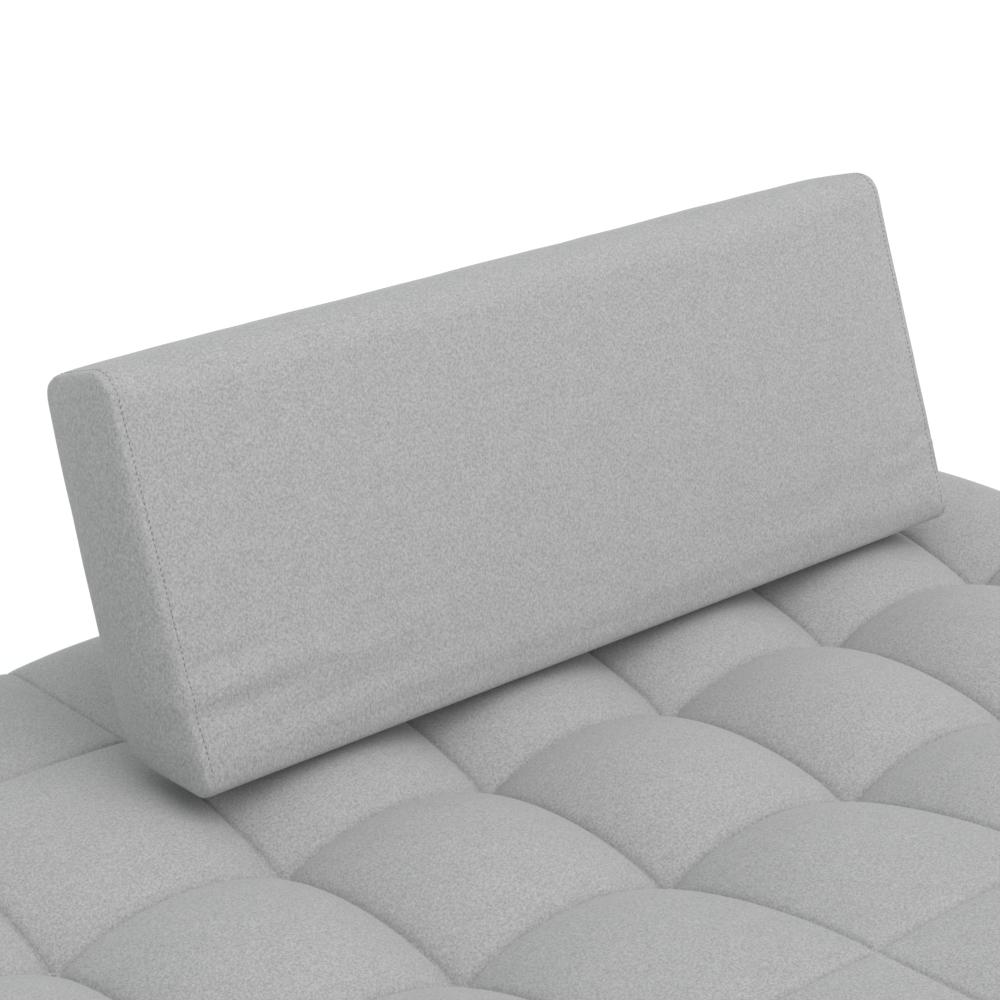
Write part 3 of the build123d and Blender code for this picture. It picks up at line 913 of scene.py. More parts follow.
    def place(self, u: float, v: float) -> tuple[Vector, Vector]:
        """Wrap a flat pattern point over the pad's top and edges.

        Args:
            u: Pattern place along the length.
            v: Pattern place across the width.

        Returns:
            The point on the smooth outer form, and the outward direction there.
        """
        flat_x, flat_y = self.half_x - self.corner, self.half_y - self.corner
        over_x, over_y = max(0.0, abs(u) - flat_x), max(0.0, abs(v) - flat_y)
        far = max(over_x, over_y)
        if far <= 0:
            return Vector((u, v, self.crown)), Vector((0, 0, 1))
        turn = math.pi / 4 * min(over_x, over_y) / far
        angle = turn if over_x >= over_y else math.pi / 2 - turn
        out = Vector((math.copysign(math.cos(angle), u), math.copysign(math.sin(angle), v), 0))
        swing = min(max(far - self.lead, 0.0), self.arc) / self.rounding
        reach = min(far, self.lead) + self.rounding * math.sin(swing)
        drop = self.rounding * (1 - math.cos(swing)) + max(0.0, far - self.lead - self.arc)
        base = Vector((clamp(u, flat_x), clamp(v, flat_y), self.crown))
        normal = out * math.sin(swing) + Vector((0, 0, math.cos(swing)))
        return base + out * reach - Vector((0, 0, drop)), normal

    def build(self) -> bpy.types.Object:
        """Make the pad, inflate it and tie it to the frame.

        Returns:
            The pad.
        """
        us = self.seam_stations(self.column_reach, self.half_x)
        vs = self.seam_stations(self.row_reach, self.half_y)
        bm = bmesh.new()
        bmesh.ops.create_grid(bm, x_segments=len(us) - 1, y_segments=len(vs) - 1, size=1.0)
        crease = bm.edges.layers.float.new("crease_edge")
        cell = {vert: (round((vert.co.x + 1) / 2 * (len(us) - 1)), round((vert.co.y + 1) / 2 * (len(vs) - 1)))
                for vert in bm.verts}
        gap_u = [abs(u - self.nearest(u, self.column_reach)) for u in us]
        gap_v = [abs(v - self.nearest(v, self.row_reach)) for v in vs]
        for edge in bm.edges:
            (i0, j0), (i1, j1) = cell[edge.verts[0]], cell[edge.verts[1]]
            on_seam = (i0 == i1 and gap_u[i0] < 0.1 * MM) or (j0 == j1 and gap_v[j0] < 0.1 * MM)
            if on_seam or edge.is_boundary:
                edge[crease] = 1.0
        sewn = []
        for vert, (i, j) in cell.items():
            point, normal = self.place(us[i], vs[j])
            fade = smoothstep((self.crown - point.z) / self.rounding)
            quilted = self.depth(clamp(us[i], self.half_x), clamp(vs[j], self.half_y))
            vert.co = point - normal * (quilted * (1 - self.edge_fade * fade) + self.slack * (1 - fade))
            if min(gap_u[i], gap_v[j]) < self.groove_reach or vert.is_boundary:
                sewn.append(vert.index)
        bm.verts.index_update()
        piece = make_piece("tufted_top", bm, FELT)
        self.cloth.run(piece, sewn)
        subdivide(piece)
        apply_modifiers(piece)
        close_holes(piece)
        return settle(piece, "mattress", "felt", "mattress_top_cover")


@dataclass
class MattressSides:
    """The felt side band, the lining tray under it, and the foam core that they hold."""

    corner: float = 55 * MM
    wall: float = 4.5 * MM
    bulge: float = 3 * MM
    seam: float = 2.2 * MM
    bottom_edge: float = 14 * MM
    hem: float = 2 * MM
    zip_lip: float = 1.5 * MM
    flat_rim: float = 40 * MM
    tray_corner_steps: int = 8
    heel_steps: int = 6
    step: float = 40 * MM
    band_step: float = 16 * MM

    def moved(self, spot: Vector, level: float, shift: float) -> Vector:
        """Move a point of the side to a level, and in or out.

        Args:
            spot: The point.
            level: Its new height.
            shift: How far outside the side it goes; below zero is inside.

        Returns:
            The new place.
        """
        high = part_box("mattress_side_band")[1]
        core = Vector((clamp(spot.x, high.x - self.corner), clamp(spot.y, high.y - self.corner), 0))
        out = Vector((spot.x, spot.y, 0)) - core
        flat = core + out.normalized() * (self.corner + shift)
        return Vector((flat.x, flat.y, level))

    def start(self, bm: bmesh.types.BMesh, level: float, shift: float) -> list[bmesh.types.BMEdge]:
        """Draw the rounded rectangle of the mattress's side at one level.

        Args:
            bm: Where to draw.
            level: Height.
            shift: How far outside the side it runs; below zero is inside.

        Returns:
            Its edges.
        """
        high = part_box("mattress_side_band")[1]
        made = bmesh.ops.create_grid(bm, x_segments=1, y_segments=1, size=1.0)
        for vert in made["verts"]:
            vert.co = Vector((vert.co.x * high.x, vert.co.y * high.y, level))
        bmesh.ops.bevel(bm, geom=made["verts"], offset=self.corner, offset_type="OFFSET",
                        segments=self.tray_corner_steps, profile=0.5, affect="VERTICES", material=-1)
        for edge in [e for e in bm.edges if e.calc_length() > 3 * self.step]:
            cuts = math.ceil(edge.calc_length() / self.step) - 1
            bmesh.ops.subdivide_edges(bm, edges=[edge], cuts=cuts)
        for vert in bm.verts:
            vert.co = self.moved(vert.co, level, shift)
        bmesh.ops.delete(bm, geom=bm.faces[:], context="FACES_ONLY")
        return bm.edges[:]

    def sweep(self, bm: bmesh.types.BMesh, loop: list[bmesh.types.BMEdge], level: float,
              shift: float) -> list[bmesh.types.BMEdge]:
        """Extrude a loop to a new level, moved in or out.

        Args:
            bm: The mesh.
            loop: The loop to extrude.
            level: The new loop's height.
            shift: How far outside the side the new loop runs; below zero is inside.

        Returns:
            The new loop's edges.
        """
        made = bmesh.ops.extrude_edge_only(bm, edges=loop)["geom"]
        for vert in (g for g in made if isinstance(g, bmesh.types.BMVert)):
            vert.co = self.moved(vert.co, level, shift)
        return [g for g in made if isinstance(g, bmesh.types.BMEdge)]

    def band(self) -> bpy.types.Object:
        """Make the band, sewn at both edges, with the recess for the zip.

        Returns:
            The band.
        """
        low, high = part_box("mattress_side_band")
        tape_low, tape_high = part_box("mattress_zip_tape")
        bm = bmesh.new()
        loop = self.start(bm, low.z, -self.seam)
        hem, lip, hair = self.hem, self.zip_lip, 0.1 * MM
        marks = [low.z, low.z + hem, tape_low.z - lip, tape_low.z, tape_high.z, tape_high.z + lip,
                 high.z - hem, high.z]
        for level in stations(marks, self.band_step)[1:]:
            share = (level - low.z) / (high.z - low.z)
            edge_gap = min(level - low.z, high.z - level)
            shift = self.bulge * (1 - (2 * share - 1) ** 2) - self.seam * max(0.0, 1 - edge_gap / hem)
            loop = self.sweep(bm, loop, level, shift)
        for x in (tape_low.x, tape_low.x + lip, tape_high.x - lip, tape_high.x):
            bmesh.ops.bisect_plane(bm, geom=bm.verts[:] + bm.edges[:] + bm.faces[:], plane_co=(x, 0, 0),
                                   plane_no=(1, 0, 0), dist=0.01 * MM)
        for vert in bm.verts:
            inside = tape_low.x + lip / 2 < vert.co.x < tape_high.x - lip / 2
            if inside and vert.co.y > 0 and tape_low.z - hair < vert.co.z < tape_high.z + hair:
                vert.co.y = tape_low.y - 2 * hair
        return self.panel("mattress_band", bm, FELT, "felt", "mattress_side_band")

    def panel(self, name: str, bm: bmesh.types.BMesh, finish: Finish, slot: str,
              node: str) -> bpy.types.Object:
        """Turn a swept sheet into a cover panel with its thickness inwards.

        Args:
            name: The panel's name.
            bm: The sheet.
            finish: The surface finish.
            slot: The record's material slot.
            node: The CAD node that it replaces.

        Returns:
            The panel.
        """
        bmesh.ops.recalc_face_normals(bm, faces=bm.faces)
        piece = make_piece(name, bm, finish)
        made = piece.modifiers.new("thickness", "SOLIDIFY")
        made.thickness = self.wall
        made.offset = -1.0
        made.use_even_offset = False
        return settle(piece, "mattress", slot, node)

    def tray(self) -> bpy.types.Object:
        """Make the lining tray: a short upright edge, a rounded heel and a flat bottom.

        Returns:
            The tray.
        """
        low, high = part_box("mattress_underside")
        bm = bmesh.new()
        loop = self.start(bm, high.z, 0.0)
        loop = self.sweep(bm, loop, high.z - self.hem, 0.0)
        loop = self.sweep(bm, loop, low.z + self.bottom_edge, 0.0)
        for k in range(1, self.heel_steps + 1):
            swing = k / self.heel_steps * math.pi / 2
            loop = self.sweep(bm, loop, low.z + self.bottom_edge * (1 - math.sin(swing)),
                              -self.bottom_edge * (1 - math.cos(swing)))
        loop = self.sweep(bm, loop, low.z, -self.flat_rim)
        bmesh.ops.holes_fill(bm, edges=loop, sides=0)
        return self.panel("mattress_tray", bm, LINING, "lining", "mattress_underside")

    def core(self) -> bpy.types.Object:
        """Cut the foam core level under the quilted pad.

        Returns:
            The core.
        """
        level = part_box("mattress_top_cover")[0].z - 0.5 * MM
        bm = merged_copy("mattress_core")
        cut = bmesh.ops.bisect_plane(bm, geom=bm.verts[:] + bm.edges[:] + bm.faces[:], plane_co=(0, 0, level),
                                     plane_no=(0, 0, 1), clear_outer=True)["geom_cut"]
        rim = [g for g in cut if isinstance(g, bmesh.types.BMEdge)]
        bmesh.ops.triangle_fill(bm, use_beauty=True, edges=rim)
        bmesh.ops.recalc_face_normals(bm, faces=bm.faces)
        piece = make_piece("mattress_foam", bm, FOAM, smooth=False)
        return settle(piece, "mattress", "foam", "mattress_core")


# ---------------------------------------------------------------------------
# Backrest
# ---------------------------------------------------------------------------


@dataclass(frozen=True)
class Outline:
    """The backrest's side view: four corners, each rounded, drawn in Y and Z."""

    corners: tuple[tuple[float, float], ...]
    radii: tuple[float, ...]

    def corner(self, k: int) -> tuple[Vector, float, float]:
        """Describe one rounded corner.

        Args:
            k: The corner's number.

        Returns:
            The rounding's centre, the angle of its outward middle, and half its sweep.
        """
        here = Vector(self.corners[k % 4])
        back = (Vector(self.corners[(k - 1) % 4]) - here).normalized()
        ahead = (Vector(self.corners[(k + 1) % 4]) - here).normalized()
        half = math.acos(max(-1.0, min(1.0, back.dot(ahead)))) / 2
        inward = (back + ahead).normalized()
        centre = here + inward * (self.radii[k % 4] / math.sin(half))
        return centre, math.atan2(-inward.y, -inward.x), math.pi / 2 - half

    def length(self, k: int) -> tuple[float, float, float]:
        """Measure a side in three parts.

        Args:
            k: The side's number, which is its first corner's.

        Returns:
            Lengths of its first half rounding, its straight run and its last half rounding.
        """
        first, last = self.corner(k), self.corner(k + 1)
        r0, r1 = self.radii[k % 4], self.radii[(k + 1) % 4]
        whole = (Vector(self.corners[(k + 1) % 4]) - Vector(self.corners[k % 4])).length
        return r0 * first[2], whole - r0 * math.tan(first[2]) - r1 * math.tan(last[2]), r1 * last[2]

    def at(self, k: int, share: float) -> tuple[Vector, Vector]:
        """Find a point on a side, from the middle of one corner to the middle of the next.

        Args:
            k: The side's number, which is its first corner's.
            share: 0 at its start, 1 at its end.

        Returns:
            The point and the outward direction there.
        """
        first, run, last = self.length(k)
        along = share * (first + run + last)
        centre, angle, half = self.corner(k)
        radius, straight = self.radii[k % 4], 0.0
        if along <= first:
            angle += along / radius
        elif along < first + run:
            angle += half
            straight = along - first
        else:
            centre, angle, half = self.corner(k + 1)
            radius = self.radii[(k + 1) % 4]
            angle -= (first + run + last - along) / radius
        out = Vector((math.cos(angle), math.sin(angle)))
        return centre + out * radius + Vector((-out.y, out.x)) * straight, out


class Face(Enum):
    """The faces of the backrest's cover."""

    FRONT = "front"
    TOP = "top"
    REAR = "rear"
    FOOT = "foot"
    LEFT = "left"
    RIGHT = "right"


@dataclass(frozen=True)
class Fold:
    """A soft crease in the cover: a valley with a low ridge on one side, from one point to another."""

    face: Face
    start: Point
    end: Point
    depth: float
    width: float
    ridge: float = 0.8

    def shape(self, point: Vector, up: Vector) -> float:
        """Give the fold's height at a point.

        Args:
            point: A point of the cover.
            up: The direction across the fold in which the ridge lies.

        Returns:
            How far the cover moves outwards; below zero is inwards.
        """
        a, b = Vector(self.start), Vector(self.end)
        line = b - a
        share = max(0.0, min(1.0, (point - a).dot(line) / line.length_squared))
        off = point - (a + line * share)
        across = off.dot(up)
        far = math.sqrt(max(0.0, off.length_squared - across * across))
        fading = math.exp(-(far / (2 * self.width)) ** 2)
        swelling = 0.35 + 0.65 * math.sin(math.pi * (0.15 + 0.7 * share))
        valley = -math.exp(-(across / self.width) ** 2)
        crest = self.ridge * math.exp(-((across - 1.8 * self.width) / (1.1 * self.width)) ** 2)
        return self.depth * fading * swelling * (valley + crest)


@dataclass
class Backrest:
    """The leaning backrest: one wrap panel, two end panels, their topstitching and the zip behind."""

    lean: float = 20.0
    base_depth: float = 103 * MM
    top_depth: float = 82 * MM
    top_fall: float = 26 * MM
    radii: tuple[float, float, float, float] = (12 * MM, 36 * MM, 22 * MM, 22 * MM)
    step: float = 8 * MM
    corner_step: float = 4 * MM
    corner_run: float = 26 * MM
    seam_sink: float = 1.3 * MM
    seam_roll: float = 8 * MM
    stitch_from_seam: float = 6.5 * MM
    stitch_pitch: float = 4.3 * MM
    stitch_groove: float = 0.7 * MM
    stitch: Point = (0.42 * MM, 1.45 * MM, 0.34 * MM)
    stitch_lift: float = 0.06 * MM
    face_crown: float = 3.5 * MM
    top_crown: float = 0.5 * MM
    end_crown: float = 9 * MM
    end_belly: float = 6 * MM
    zip_rise: float = 52 * MM
    zip_width: float = 22 * MM
    zip_depth: float = 5.8 * MM
    zip_lip: float = 1.5 * MM
    waves: tuple[tuple[float, float], ...] = ((0.55 * MM, 14.0), (0.25 * MM, 38.0))
    cloth: ClothRun = ClothRun(pressure=1.2, frames=10, cap=2 * MM)

    def __post_init__(self) -> None:
        """Read the place of the backrest from the frame."""
        low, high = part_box("backrest_wrap")
        left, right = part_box("backrest_end_left")[0].x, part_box("backrest_end_right")[1].x
        self.x0, self.x1, self.foot = left, right, low.z
        height = self.height_under(high.z - low.z)
        self.top = self.foot + height
        self.lean_run = height * math.tan(math.radians(self.lean))
        plain = self.drawn(0.0, 0.0, height)
        gain = min(plain.at(side, k / 60)[0].x for side in (0, 3) for k in range(61))
        self.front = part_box("backrest_end_left")[0].y - gain
        self.outline = self.drawn(self.front, self.foot, height)

    def drawn(self, front: float, foot: float, height: float) -> Outline:
        """Draw the side view.

        Args:
            front: Y of the sharp front corner at the foot.
            foot: Z of the foot.
            height: Height of the sharp front corner at the top.

        Returns:
            The outline.
        """
        top_front, top = front + height * math.tan(math.radians(self.lean)), foot + height
        return Outline(((front, foot), (front + self.base_depth, foot),
                        (top_front + self.top_depth, top - self.top_fall), (top_front, top)), self.radii)

    def height_under(self, rounded: float) -> float:
        """Find the sharp corner's height from the height of the rounded form.

        Args:
            rounded: Height of the rounded form.

        Returns:
            Height of the sharp corner.
        """
        shape = self.drawn(0.0, 0.0, rounded)
        return 2 * rounded - max(shape.at(side, k / 90)[0].y for side in (2, 3) for k in range(91))

    def section(self, s: float, t: float) -> tuple[Vector, Vector]:
        """Find a point of the side view's area, and the outward direction where it lies on the outline.

        Args:
            s: 0 at the front, 1 at the rear.
            t: 0 at the foot, 1 at the top.

        Returns:
            The point and the direction, in Y and Z.
        """
        at = self.outline.at
        if t in (0.0, 1.0):
            return at(0, s) if t == 0.0 else at(2, 1 - s)
        if s in (0.0, 1.0):
            return at(3, 1 - t) if s == 0.0 else at(1, t)
        across = at(0, s)[0] * (1 - t) + at(2, 1 - s)[0] * t
        upward = at(3, 1 - t)[0] * (1 - s) + at(1, t)[0] * s
        ends = ((at(0, 0.0)[0] * (1 - s) + at(0, 1.0)[0] * s) * (1 - t)
                + (at(2, 1.0)[0] * (1 - s) + at(2, 0.0)[0] * s) * t)
        return across + upward - ends, Vector((0, 0))

    def shares(self) -> tuple[list[float], list[float], list[float]]:
        """Place the grid lines along the length, across the depth and up the height.

        Returns:
            Places along X, and shares of the depth and of the height.
        """
        run = self.x1 - self.x0
        zip_low, zip_high = (corner.x - self.x0 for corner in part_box("backrest_zip_tape"))
        lip = self.zip_lip
        near = [0.0, 1.5 * MM, 4 * MM, self.stitch_from_seam, 9 * MM, 13 * MM]
        marks = near + [zip_low - lip, zip_low, zip_high, zip_high + lip] + [run - n for n in reversed(near)]
        xs = [self.x0 + m for m in stations(marks, self.step)]
        ss = stations([0.0, 0.3, 0.7, 1.0], 0.055)
        first, straight, last = self.outline.length(1)
        whole = first + straight + last
        corner_run = self.radii[1] * math.tan(self.outline.corner(1)[2])
        middle = (self.zip_rise - corner_run + first) / whole
        half = self.zip_width / 2 / whole
        band = [middle - half - lip / whole, middle - half, middle + half, middle + half + lip / whole]
        hair = 1e-6
        self.zip_band = (middle - half - hair, middle + half + hair)
        self.zip_span = (self.x0 + zip_low - hair, self.x0 + zip_high + hair)
        low_end, high_start = self.corner_run / whole, 1 - self.corner_run / whole
        ts = stations([0.0, low_end], self.corner_step / whole)
        ts += stations([low_end] + band + [high_start], self.step / whole)[1:]
        ts += stations([high_start, 1.0], self.corner_step / whole)[1:]
        return xs, ss, ts

    def on_front(self, x: float, rise: float) -> Point:
        """Place a point on the front face.

        Args:
            x: Distance from the left end, or from the right end if below zero.
            rise: Distance up the slope from the foot.

        Returns:
            The point.
        """
        height = self.top - self.foot
        share = rise / math.hypot(self.lean_run, height)
        start = self.x0 if x >= 0 else self.x1
        return start + x, self.front + self.lean_run * share, self.foot + height * share

    def on_end(self, depth: float, rise: float) -> Point:
        """Place a point on the left end face.

        Args:
            depth: Distance behind the front seam.
            rise: Height above the foot.

        Returns:
            The point.
        """
        lean = self.lean_run * rise / (self.top - self.foot)
        return self.x0, self.front + lean + depth, self.foot + rise

    def folds(self) -> list[Fold]:
        """List the soft folds of the cover, from places and sizes in millimetres.

        Returns:
            The folds.
        """
        front = ((4, 62, 118, 67, 3.6, 8), (60, 45, 190, 52, 2.0, 11), (4, 96, 62, 99, 1.7, 6),
                 (-3, 84, -46, 72, 3.4, 6), (-3, 58, -70, 50, 2.6, 8), (-90, 62, -210, 52, 0.9, 12))
        end = ((2, 60, 34, 57, 2.6, 5), (2, 47, 36, 42, 2.4, 5))
        made = []
        for face, place, rows in ((Face.FRONT, self.on_front, front), (Face.LEFT, self.on_end, end)):
            for row in rows:
                a, b, c, d, depth, width = (value * MM for value in row)
                made.append(Fold(face, place(a, b), place(c, d), depth, width))
        return made

    def cover(self) -> bpy.types.Object:
        """Sew, fill and fold the cover: a wrap panel between two end panels.

        Returns:
            The cover.
        """
        xs, ss, ts = self.shares()
        nx, ns, nt = len(xs) - 1, len(ss) - 1, len(ts) - 1
        bm = bmesh.new()
        bmesh.ops.create_cube(bm, size=2.0)
        counts = (nx, ns, nt)
        for axis, count in enumerate(counts):
            edges = [e for e in bm.edges if abs((e.verts[1].co - e.verts[0].co)[axis]) > 1.0]
            bmesh.ops.subdivide_edges(bm, edges=edges, cuts=count - 1, use_grid_fill=True)
        index = {v: tuple(round((v.co[a] + 1) / 2 * n) for a, n in enumerate(counts)) for v in bm.verts}
        crease = bm.edges.layers.float.new("crease_edge")

        def on_seam(vert: bmesh.types.BMVert) -> bool:
            """Say whether a point lies on an end seam."""
            i, j, k = index[vert]
            return i in (0, nx) and (j in (0, ns) or k in (0, nt))

        for edge in bm.edges:
            first, last = edge.verts
            if on_seam(first) and on_seam(last) and index[first][0] == index[last][0]:
                edge[crease] = 0.7
        bm.verts.index_update()
        faces = {v.index: self.place(v, xs[i], ss[j], ts[k], i in (0, nx)) for v, (i, j, k) in index.items()}
        recess = {v.index: self.outline.at(1, ts[k]) for v, (i, j, k) in index.items()
                  if self.in_zip(xs[i], ss[j], ts[k])}
        sewn = [v.index for v, (i, j, k) in index.items() if on_seam(v) or (k == 0 and 0 < i < nx)]
        bmesh.ops.recalc_face_normals(bm, faces=bm.faces)
        piece = make_piece("backrest_cover", bm, FELT)
        self.cloth.run(piece, [*sewn, *recess])
        self.crumple(piece, faces)
        for number, (point, out) in recess.items():
            spot = point - out * self.zip_depth
            piece.data.vertices[number].co.yz = (spot.x, spot.y)
        for vert in piece.data.vertices:
            vert.co.z = max(vert.co.z, self.foot)
        subdivide(piece)
        return settle(piece, "backrest", "felt", "backrest_wrap", "backrest_end_left", "backrest_end_right")

    def in_zip(self, x: float, s: float, t: float) -> bool:
        """Say whether a point lies in the zip's recess on the rear face."""
        (low, high), (left, right) = self.zip_band, self.zip_span
        return s == 1.0 and low < t < high and left < x < right

    def place(self, vert: bmesh.types.BMVert, x: float, s: float, t: float, on_end: bool) -> Face:
        """Move one point of the plain box to its place on the filled cover.

        Args:
            vert: The point.
            x: Its place along the length.
            s: Its share of the depth.
            t: Its share of the height.
            on_end: Whether it belongs to an end panel or its seam.

        Returns:
            The face that it is on.
        """
        point, out = self.section(s, t)
        rim = s in (0.0, 1.0) or t in (0.0, 1.0)
        round_s, round_t = 1 - (2 * s - 1) ** 2, 1 - (2 * t - 1) ** 2
        if on_end:
            side = -1 if x < (self.x0 + self.x1) / 2 else 1
            depth, height = self.base_depth, self.top - self.foot
            gap = 0.0 if rim else min(s * depth, (1 - s) * depth, t * height, (1 - t) * height)
            swell = round_s * (1 - (2 * t - 1) ** 4) * (self.end_crown + self.end_belly * (1 - t))
            inward = out * (self.seam_sink if rim else 0.0)
            vert.co = Vector((x + side * (swell - self.sink(gap)), point.x - inward.x, point.y - inward.y))
            return Face.LEFT if side < 0 else Face.RIGHT
        across = 1 - abs(2 * (x - self.x0) / (self.x1 - self.x0) - 1) ** 6
        if s in (0.0, 1.0):
            face, swell = Face.REAR if s else Face.FRONT, self.face_crown * round_t
        else:
            face, swell = (Face.TOP, self.top_crown * round_s) if t == 1.0 else (Face.FOOT, 0.0)
        gap = min(x - self.x0, self.x1 - x)
        sink = self.sink(gap)
        if abs(gap - self.stitch_from_seam) < 0.1 * MM and t > 0.0:
            sink += self.stitch_groove
        spot = point + out * (swell * across - sink)
        vert.co = Vector((x, spot.x, spot.y))
        return face

    def sink(self, gap: float) -> float:
        """Give how deep the cover is drawn in at a distance from the nearest end seam."""
        return self.seam_sink * max(0.0, 1 - gap / self.seam_roll) ** 2

    def crumple(self, piece: bpy.types.Object, faces: dict[int, Face]) -> None:
        """Press the folds and a faint unevenness into the cover.

        Args:
            piece: The cover.
            faces: The face that each point is on.
        """
        up = Vector((0, self.lean_run, self.top - self.foot)).normalized()
        folds = self.folds()
        normals = [v.normal.copy() for v in piece.data.vertices]
        for vert, normal in zip(piece.data.vertices, normals):
            face = faces[vert.index]
            shift = sum(fold.shape(vert.co, up) for fold in folds if fold.face == face)
            if face != Face.FOOT:
                shift += sum(height * noise.noise(vert.co * fineness) for height, fineness in self.waves)
            vert.co += normal * shift

    def topstitch(self, cover: bpy.types.Object) -> bpy.types.Object:
        """Run a line of short stitches beside each end seam, over the front, the top and the rear.

        Args:
            cover: The finished cover that the thread lies on.

        Returns:
            The stitches.
        """
        graph = bpy.context.evaluated_depsgraph_get()
        graph.update()
        tree = BVHTree.FromObject(cover, graph)
        bm = bmesh.new()
        reach = 30 * MM
        front, top, rear = 3, 2, 1
        for x in (self.x0 + self.stitch_from_seam, self.x1 - self.stitch_from_seam):
            for side in (front, top, rear):
                count = round(sum(self.outline.length(side)) / self.stitch_pitch)
                first, last = (8 if side == rear else 0), (count - 3 if side == front else count)
                for k in range(first, last):
                    point, out = self.outline.at(side, (k + 0.5) / count)
                    start = Vector((x, *(point + out * reach)))
                    hit, normal, _, _ = tree.ray_cast(start, Vector((0, *-out)), 2 * reach)
                    if hit is None:
                        continue
                    along = Vector((0, -out.y, out.x))
                    along = (along - normal * along.dot(normal)).normalized()
                    axes = (normal.cross(along), along, normal)
                    oval_stud(bm, hit + normal * self.stitch_lift, axes, self.stitch)
        piece = make_piece("backrest_topstitch", bm, THREAD)
        return settle(piece, "backrest", "felt")


# ---------------------------------------------------------------------------
# Zips
# ---------------------------------------------------------------------------


@dataclass
class ZipTeeth:
    """The two rows of teeth of one closed zip, lying on its tape."""

    tape: str
    body: str
    gap: float = 1.9 * MM
    tooth: Point = (0.7 * MM, 1.9 * MM, 0.6 * MM)
    bare_end: float = 3 * MM
    from_middle: float = 0.9 * MM
    lift: float = 0.25 * MM

    def build(self, out: Vector) -> bpy.types.Object:
        """Lay the teeth along the tape's middle.

        Args:
            out: The outward direction of the tape's face.

        Returns:
            The teeth.
        """
        low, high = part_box(self.tape)
        middle = (low + high) / 2
        coords = [v.co for v in frame["nodes"][self.tape].data.vertices]
        face = max((c - middle).dot(out) for c in coords)
        along = Vector((1, 0, 0))
        up = along.cross(out)
        bm = bmesh.new()
        for k in range(int((high.x - low.x - 2 * self.bare_end) / self.gap)):
            x = low.x + self.bare_end + self.gap * (k + 0.5)
            side = self.from_middle if k % 2 else -self.from_middle
            spot = Vector((x, middle.y, middle.z)) + out * (face + self.lift) + up * side
            oval_stud(bm, spot, (along, up, out), self.tooth)
        piece = make_piece(f"{self.tape.removesuffix('_tape')}_teeth", bm, NICKEL)
        return settle(piece, self.body, "zip_metal")


# ---------------------------------------------------------------------------
# Base
# ---------------------------------------------------------------------------


@dataclass
class Base:
    """The slatted timber base on turned legs, with its steel fittings."""

    rail_edge: float = 2.5 * MM
    slat_edge: float = 2.0 * MM
    block_edge: float = 1.2 * MM
    leg_steps: int = 56
    foot_round: float = 2.5 * MM
    shoulder: float = 1.5 * MM

    def timber(self) -> None:
        """Ease the edges of every sawn piece and give each its grain."""
        slats = [n for n in frame["nodes"] if n.startswith("slat_") and n[5:].isdigit()]
        posts = ["centre_leg_1", "centre_leg_2", *(f"corner_block_{k}" for k in range(1, 5))]
        plan = (
            (("rail_front", "rail_back"), OAK_LONG, "oak", self.rail_edge),
            (("rail_head", "rail_foot"), OAK_CROSS, "oak", self.rail_edge),
            (("centre_beam", "slat_ledger_front", "slat_ledger_back"), PINE_LONG, "pine", self.block_edge),
            (posts, PINE_UPRIGHT, "pine", self.block_edge),
            (slats, BEECH_CROSS, "beech", self.slat_edge),
        )
        for nodes, finish, slot, width in plan:
            for node in nodes:
                eased(node, finish, "base", slot, width)

    def leg(self, number: int) -> bpy.types.Object:
        """Turn one tapered leg with a softened foot and shoulder.

        Args:
            number: Which leg.

        Returns:
            The leg.
        """
        node = f"leg_{number}"
        low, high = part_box(node)
        axis = Vector(((low.x + high.x) / 2, (low.y + high.y) / 2, 0))
        wide = (high.x - low.x) / 2
        coords = [v.co for v in frame["nodes"][node].data.vertices if v.co.z < low.z + 0.5 * MM]
        narrow = max((Vector((c.x, c.y, 0)) - axis).length for c in coords)
        bm = bmesh.new()
        turn = [(0.0, low.z), (narrow, low.z), (wide, high.z), (0.0, high.z)]
        points = [bm.verts.new((axis.x + r, axis.y, z)) for r, z in turn]
        for first, last in zip(points, points[1:]):
            bm.edges.new((first, last))
        for spot, width, steps in ((points[1].co.copy(), self.foot_round, 4),
                                   (points[2].co.copy(), self.shoulder, 3)):
            near = [v for v in bm.verts if (v.co - spot).length < 0.1 * MM]
            bmesh.ops.bevel(bm, geom=near, offset=width, offset_type="OFFSET", segments=steps, profile=0.5,
                            affect="VERTICES", material=-1)
        bmesh.ops.spin(bm, geom=bm.verts[:] + bm.edges[:], cent=axis, axis=(0, 0, 1), angle=2 * math.pi,
                       steps=self.leg_steps, use_merge=True, use_duplicate=False)
        bmesh.ops.remove_doubles(bm, verts=bm.verts, dist=0.01 * MM)
        bmesh.ops.recalc_face_normals(bm, faces=bm.faces)
        piece = make_piece(f"{node}_turned", bm, OAK_UPRIGHT)
        piece.modifiers.new("shading", "WEIGHTED_NORMAL")
        return settle(piece, "base", "oak", node)

    def build(self) -> None:
        """Make the timber, the legs and the eased steel and nylon fittings."""
        self.timber()
        for number in range(1, 5):
            self.leg(number)
        for node in ("centre_foot_1", "centre_foot_2"):
            eased(node, BLACK_STEEL, node, "foot_steel", 0.6 * MM)
        eased("leg_glides", NYLON, "base", "nylon", 0.8 * MM)
        eased("beam_hangers", ZINC, "base", "zinc_steel", 0.3 * MM)
        eased("leg_plates", ZINC, "base", "zinc_steel", 0.4 * MM)


# ---------------------------------------------------------------------------
# Studio
# ---------------------------------------------------------------------------


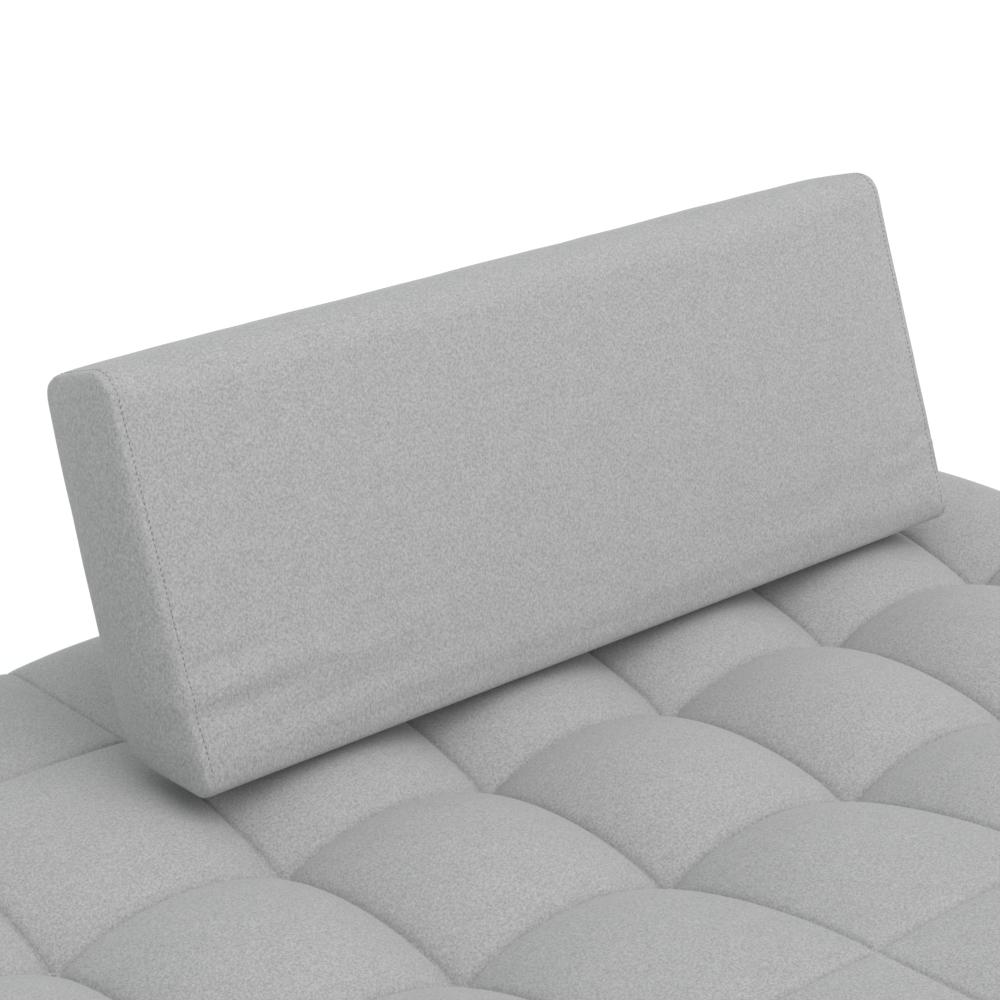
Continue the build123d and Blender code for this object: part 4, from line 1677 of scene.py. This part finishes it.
@dataclass
class Studio:
    """A pale floor, soft light and the main camera."""

    azimuth: float = -41.644
    elevation: float = 21.734
    distance: float = 1.957
    aim: Point = (0.2769, 0.0706, 0.6357)
    lens: float = 100.2
    floor_size: float = 160.0
    room_light: float = 0.78

    def floor(self) -> None:
        """Lay the floor."""
        bm = bmesh.new()
        bmesh.ops.create_grid(bm, x_segments=8, y_segments=8, size=self.floor_size / 2)
        made = bpy.data.materials.new("studio_floor")
        made.use_nodes = True
        shader = made.node_tree.nodes["Principled BSDF"]
        shader.inputs["Base Color"].default_value = (0.96, 0.96, 0.96, 1.0)
        shader.inputs["Roughness"].default_value = 0.9
        mesh = bpy.data.meshes.new("studio_floor")
        bm.to_mesh(mesh)
        bm.free()
        mesh.materials.append(made)
        piece = bpy.data.objects.new("studio_floor", mesh)
        link(piece)

    def sun(self, name: str, toward: Point, strength: float, spread: float) -> None:
        """Hang one far soft light.

        Args:
            name: The light's name.
            toward: Direction from the daybed to the light.
            strength: Its strength in watts per square metre.
            spread: How wide it looks from the daybed, in degrees.
        """
        data = bpy.data.lights.new(name, "SUN")
        data.energy = strength
        data.angle = math.radians(spread)
        data.color = (1.0, 0.985, 0.96)
        lamp = bpy.data.objects.new(name, data)
        lamp.rotation_euler = Vector(toward).to_track_quat("Z", "Y").to_euler()
        link(lamp)

    def camera(self) -> None:
        """Place the main camera."""
        data = bpy.data.cameras.new("main_camera")
        data.lens = self.lens
        data.sensor_width = 36.0
        data.clip_end = 100.0
        a, e = math.radians(self.azimuth), math.radians(self.elevation)
        back = Vector((math.sin(a) * math.cos(e), -math.cos(a) * math.cos(e), math.sin(e)))
        camera = bpy.data.objects.new("main_camera", data)
        camera.location = Vector(self.aim) + back * self.distance
        camera.rotation_euler = back.to_track_quat("Z", "Y").to_euler()
        link(camera)
        bpy.context.scene.camera = camera

    def build(self) -> None:
        """Set up the room, the lights and the camera."""
        self.floor()
        self.camera()
        world = bpy.data.worlds.new("soft_room")
        world.use_nodes = True
        light = world.node_tree.nodes["Background"]
        light.inputs["Color"].default_value = (0.97, 0.985, 1.0, 1.0)
        light.inputs["Strength"].default_value = self.room_light
        bpy.context.scene.world = world
        self.sun("key_sun", (0.14, -0.58, 0.80), 1.3, 55.0)
        bpy.context.scene.view_settings.view_transform = "Standard"


# ---------------------------------------------------------------------------
# Build
# ---------------------------------------------------------------------------


SLOT_FINISHES: dict[str, Finish] = {
    "zinc_steel": ZINC, "zip_metal": NICKEL, "zip_tape": TAPE, "brass": BRASS, "twine": TWINE, "nylon": NYLON,
    "foam": FOAM, "plywood": PLY_LONG, "pine": PINE_LONG, "ballast": BLACK_STEEL, "grip": RUBBER,
}

SLOT_NODES: dict[str, tuple[str, ...]] = {
    "zinc_steel": ("slat_screws", "connector_bolts", "short_screws", "leg_studs", "ballast_screws"),
    "zip_metal": ("mattress_zip_slider", "mattress_zip_pull", "backrest_zip_slider", "backrest_zip_pull"),
    "zip_tape": ("mattress_zip_tape", "backrest_zip_tape"), "brass": ("foot_inserts",),
    "twine": ("tuft_twines",), "nylon": ("tuft_washers",), "foam": ("backrest_foam",), "plywood": ("backrest_board",),
    "pine": ("backrest_batten",), "ballast": ("ballast_plate",), "grip": ("backrest_grip",),
}


def dress_nodes() -> None:
    """Give every CAD node that stays in view its own finish."""
    for slot, nodes in SLOT_NODES.items():
        for node in nodes:
            SLOT_FINISHES[slot].dress(frame["nodes"][node])
            log.info("%s keeps its CAD shape, finished in %s", node, SLOT_FINISHES[slot].name)


def main() -> None:
    """Build every sub-assembly in order."""
    logging.basicConfig(level=logging.INFO, format="%(message)s")
    Studio().build()
    TuftedTop().build()
    sides = MattressSides()
    sides.band()
    sides.tray()
    sides.core()
    backrest = Backrest()
    cover = backrest.cover()
    backrest.topstitch(cover)
    slope = backrest.outline.at(1, 0.5)[1]
    ZipTeeth("mattress_zip_tape", "mattress").build(Vector((0, 1, 0)))
    ZipTeeth("backrest_zip_tape", "backrest").build(Vector((0, slope.x, slope.y)))
    Base().build()
    dress_nodes()


if __name__ == "__main__":
    main()
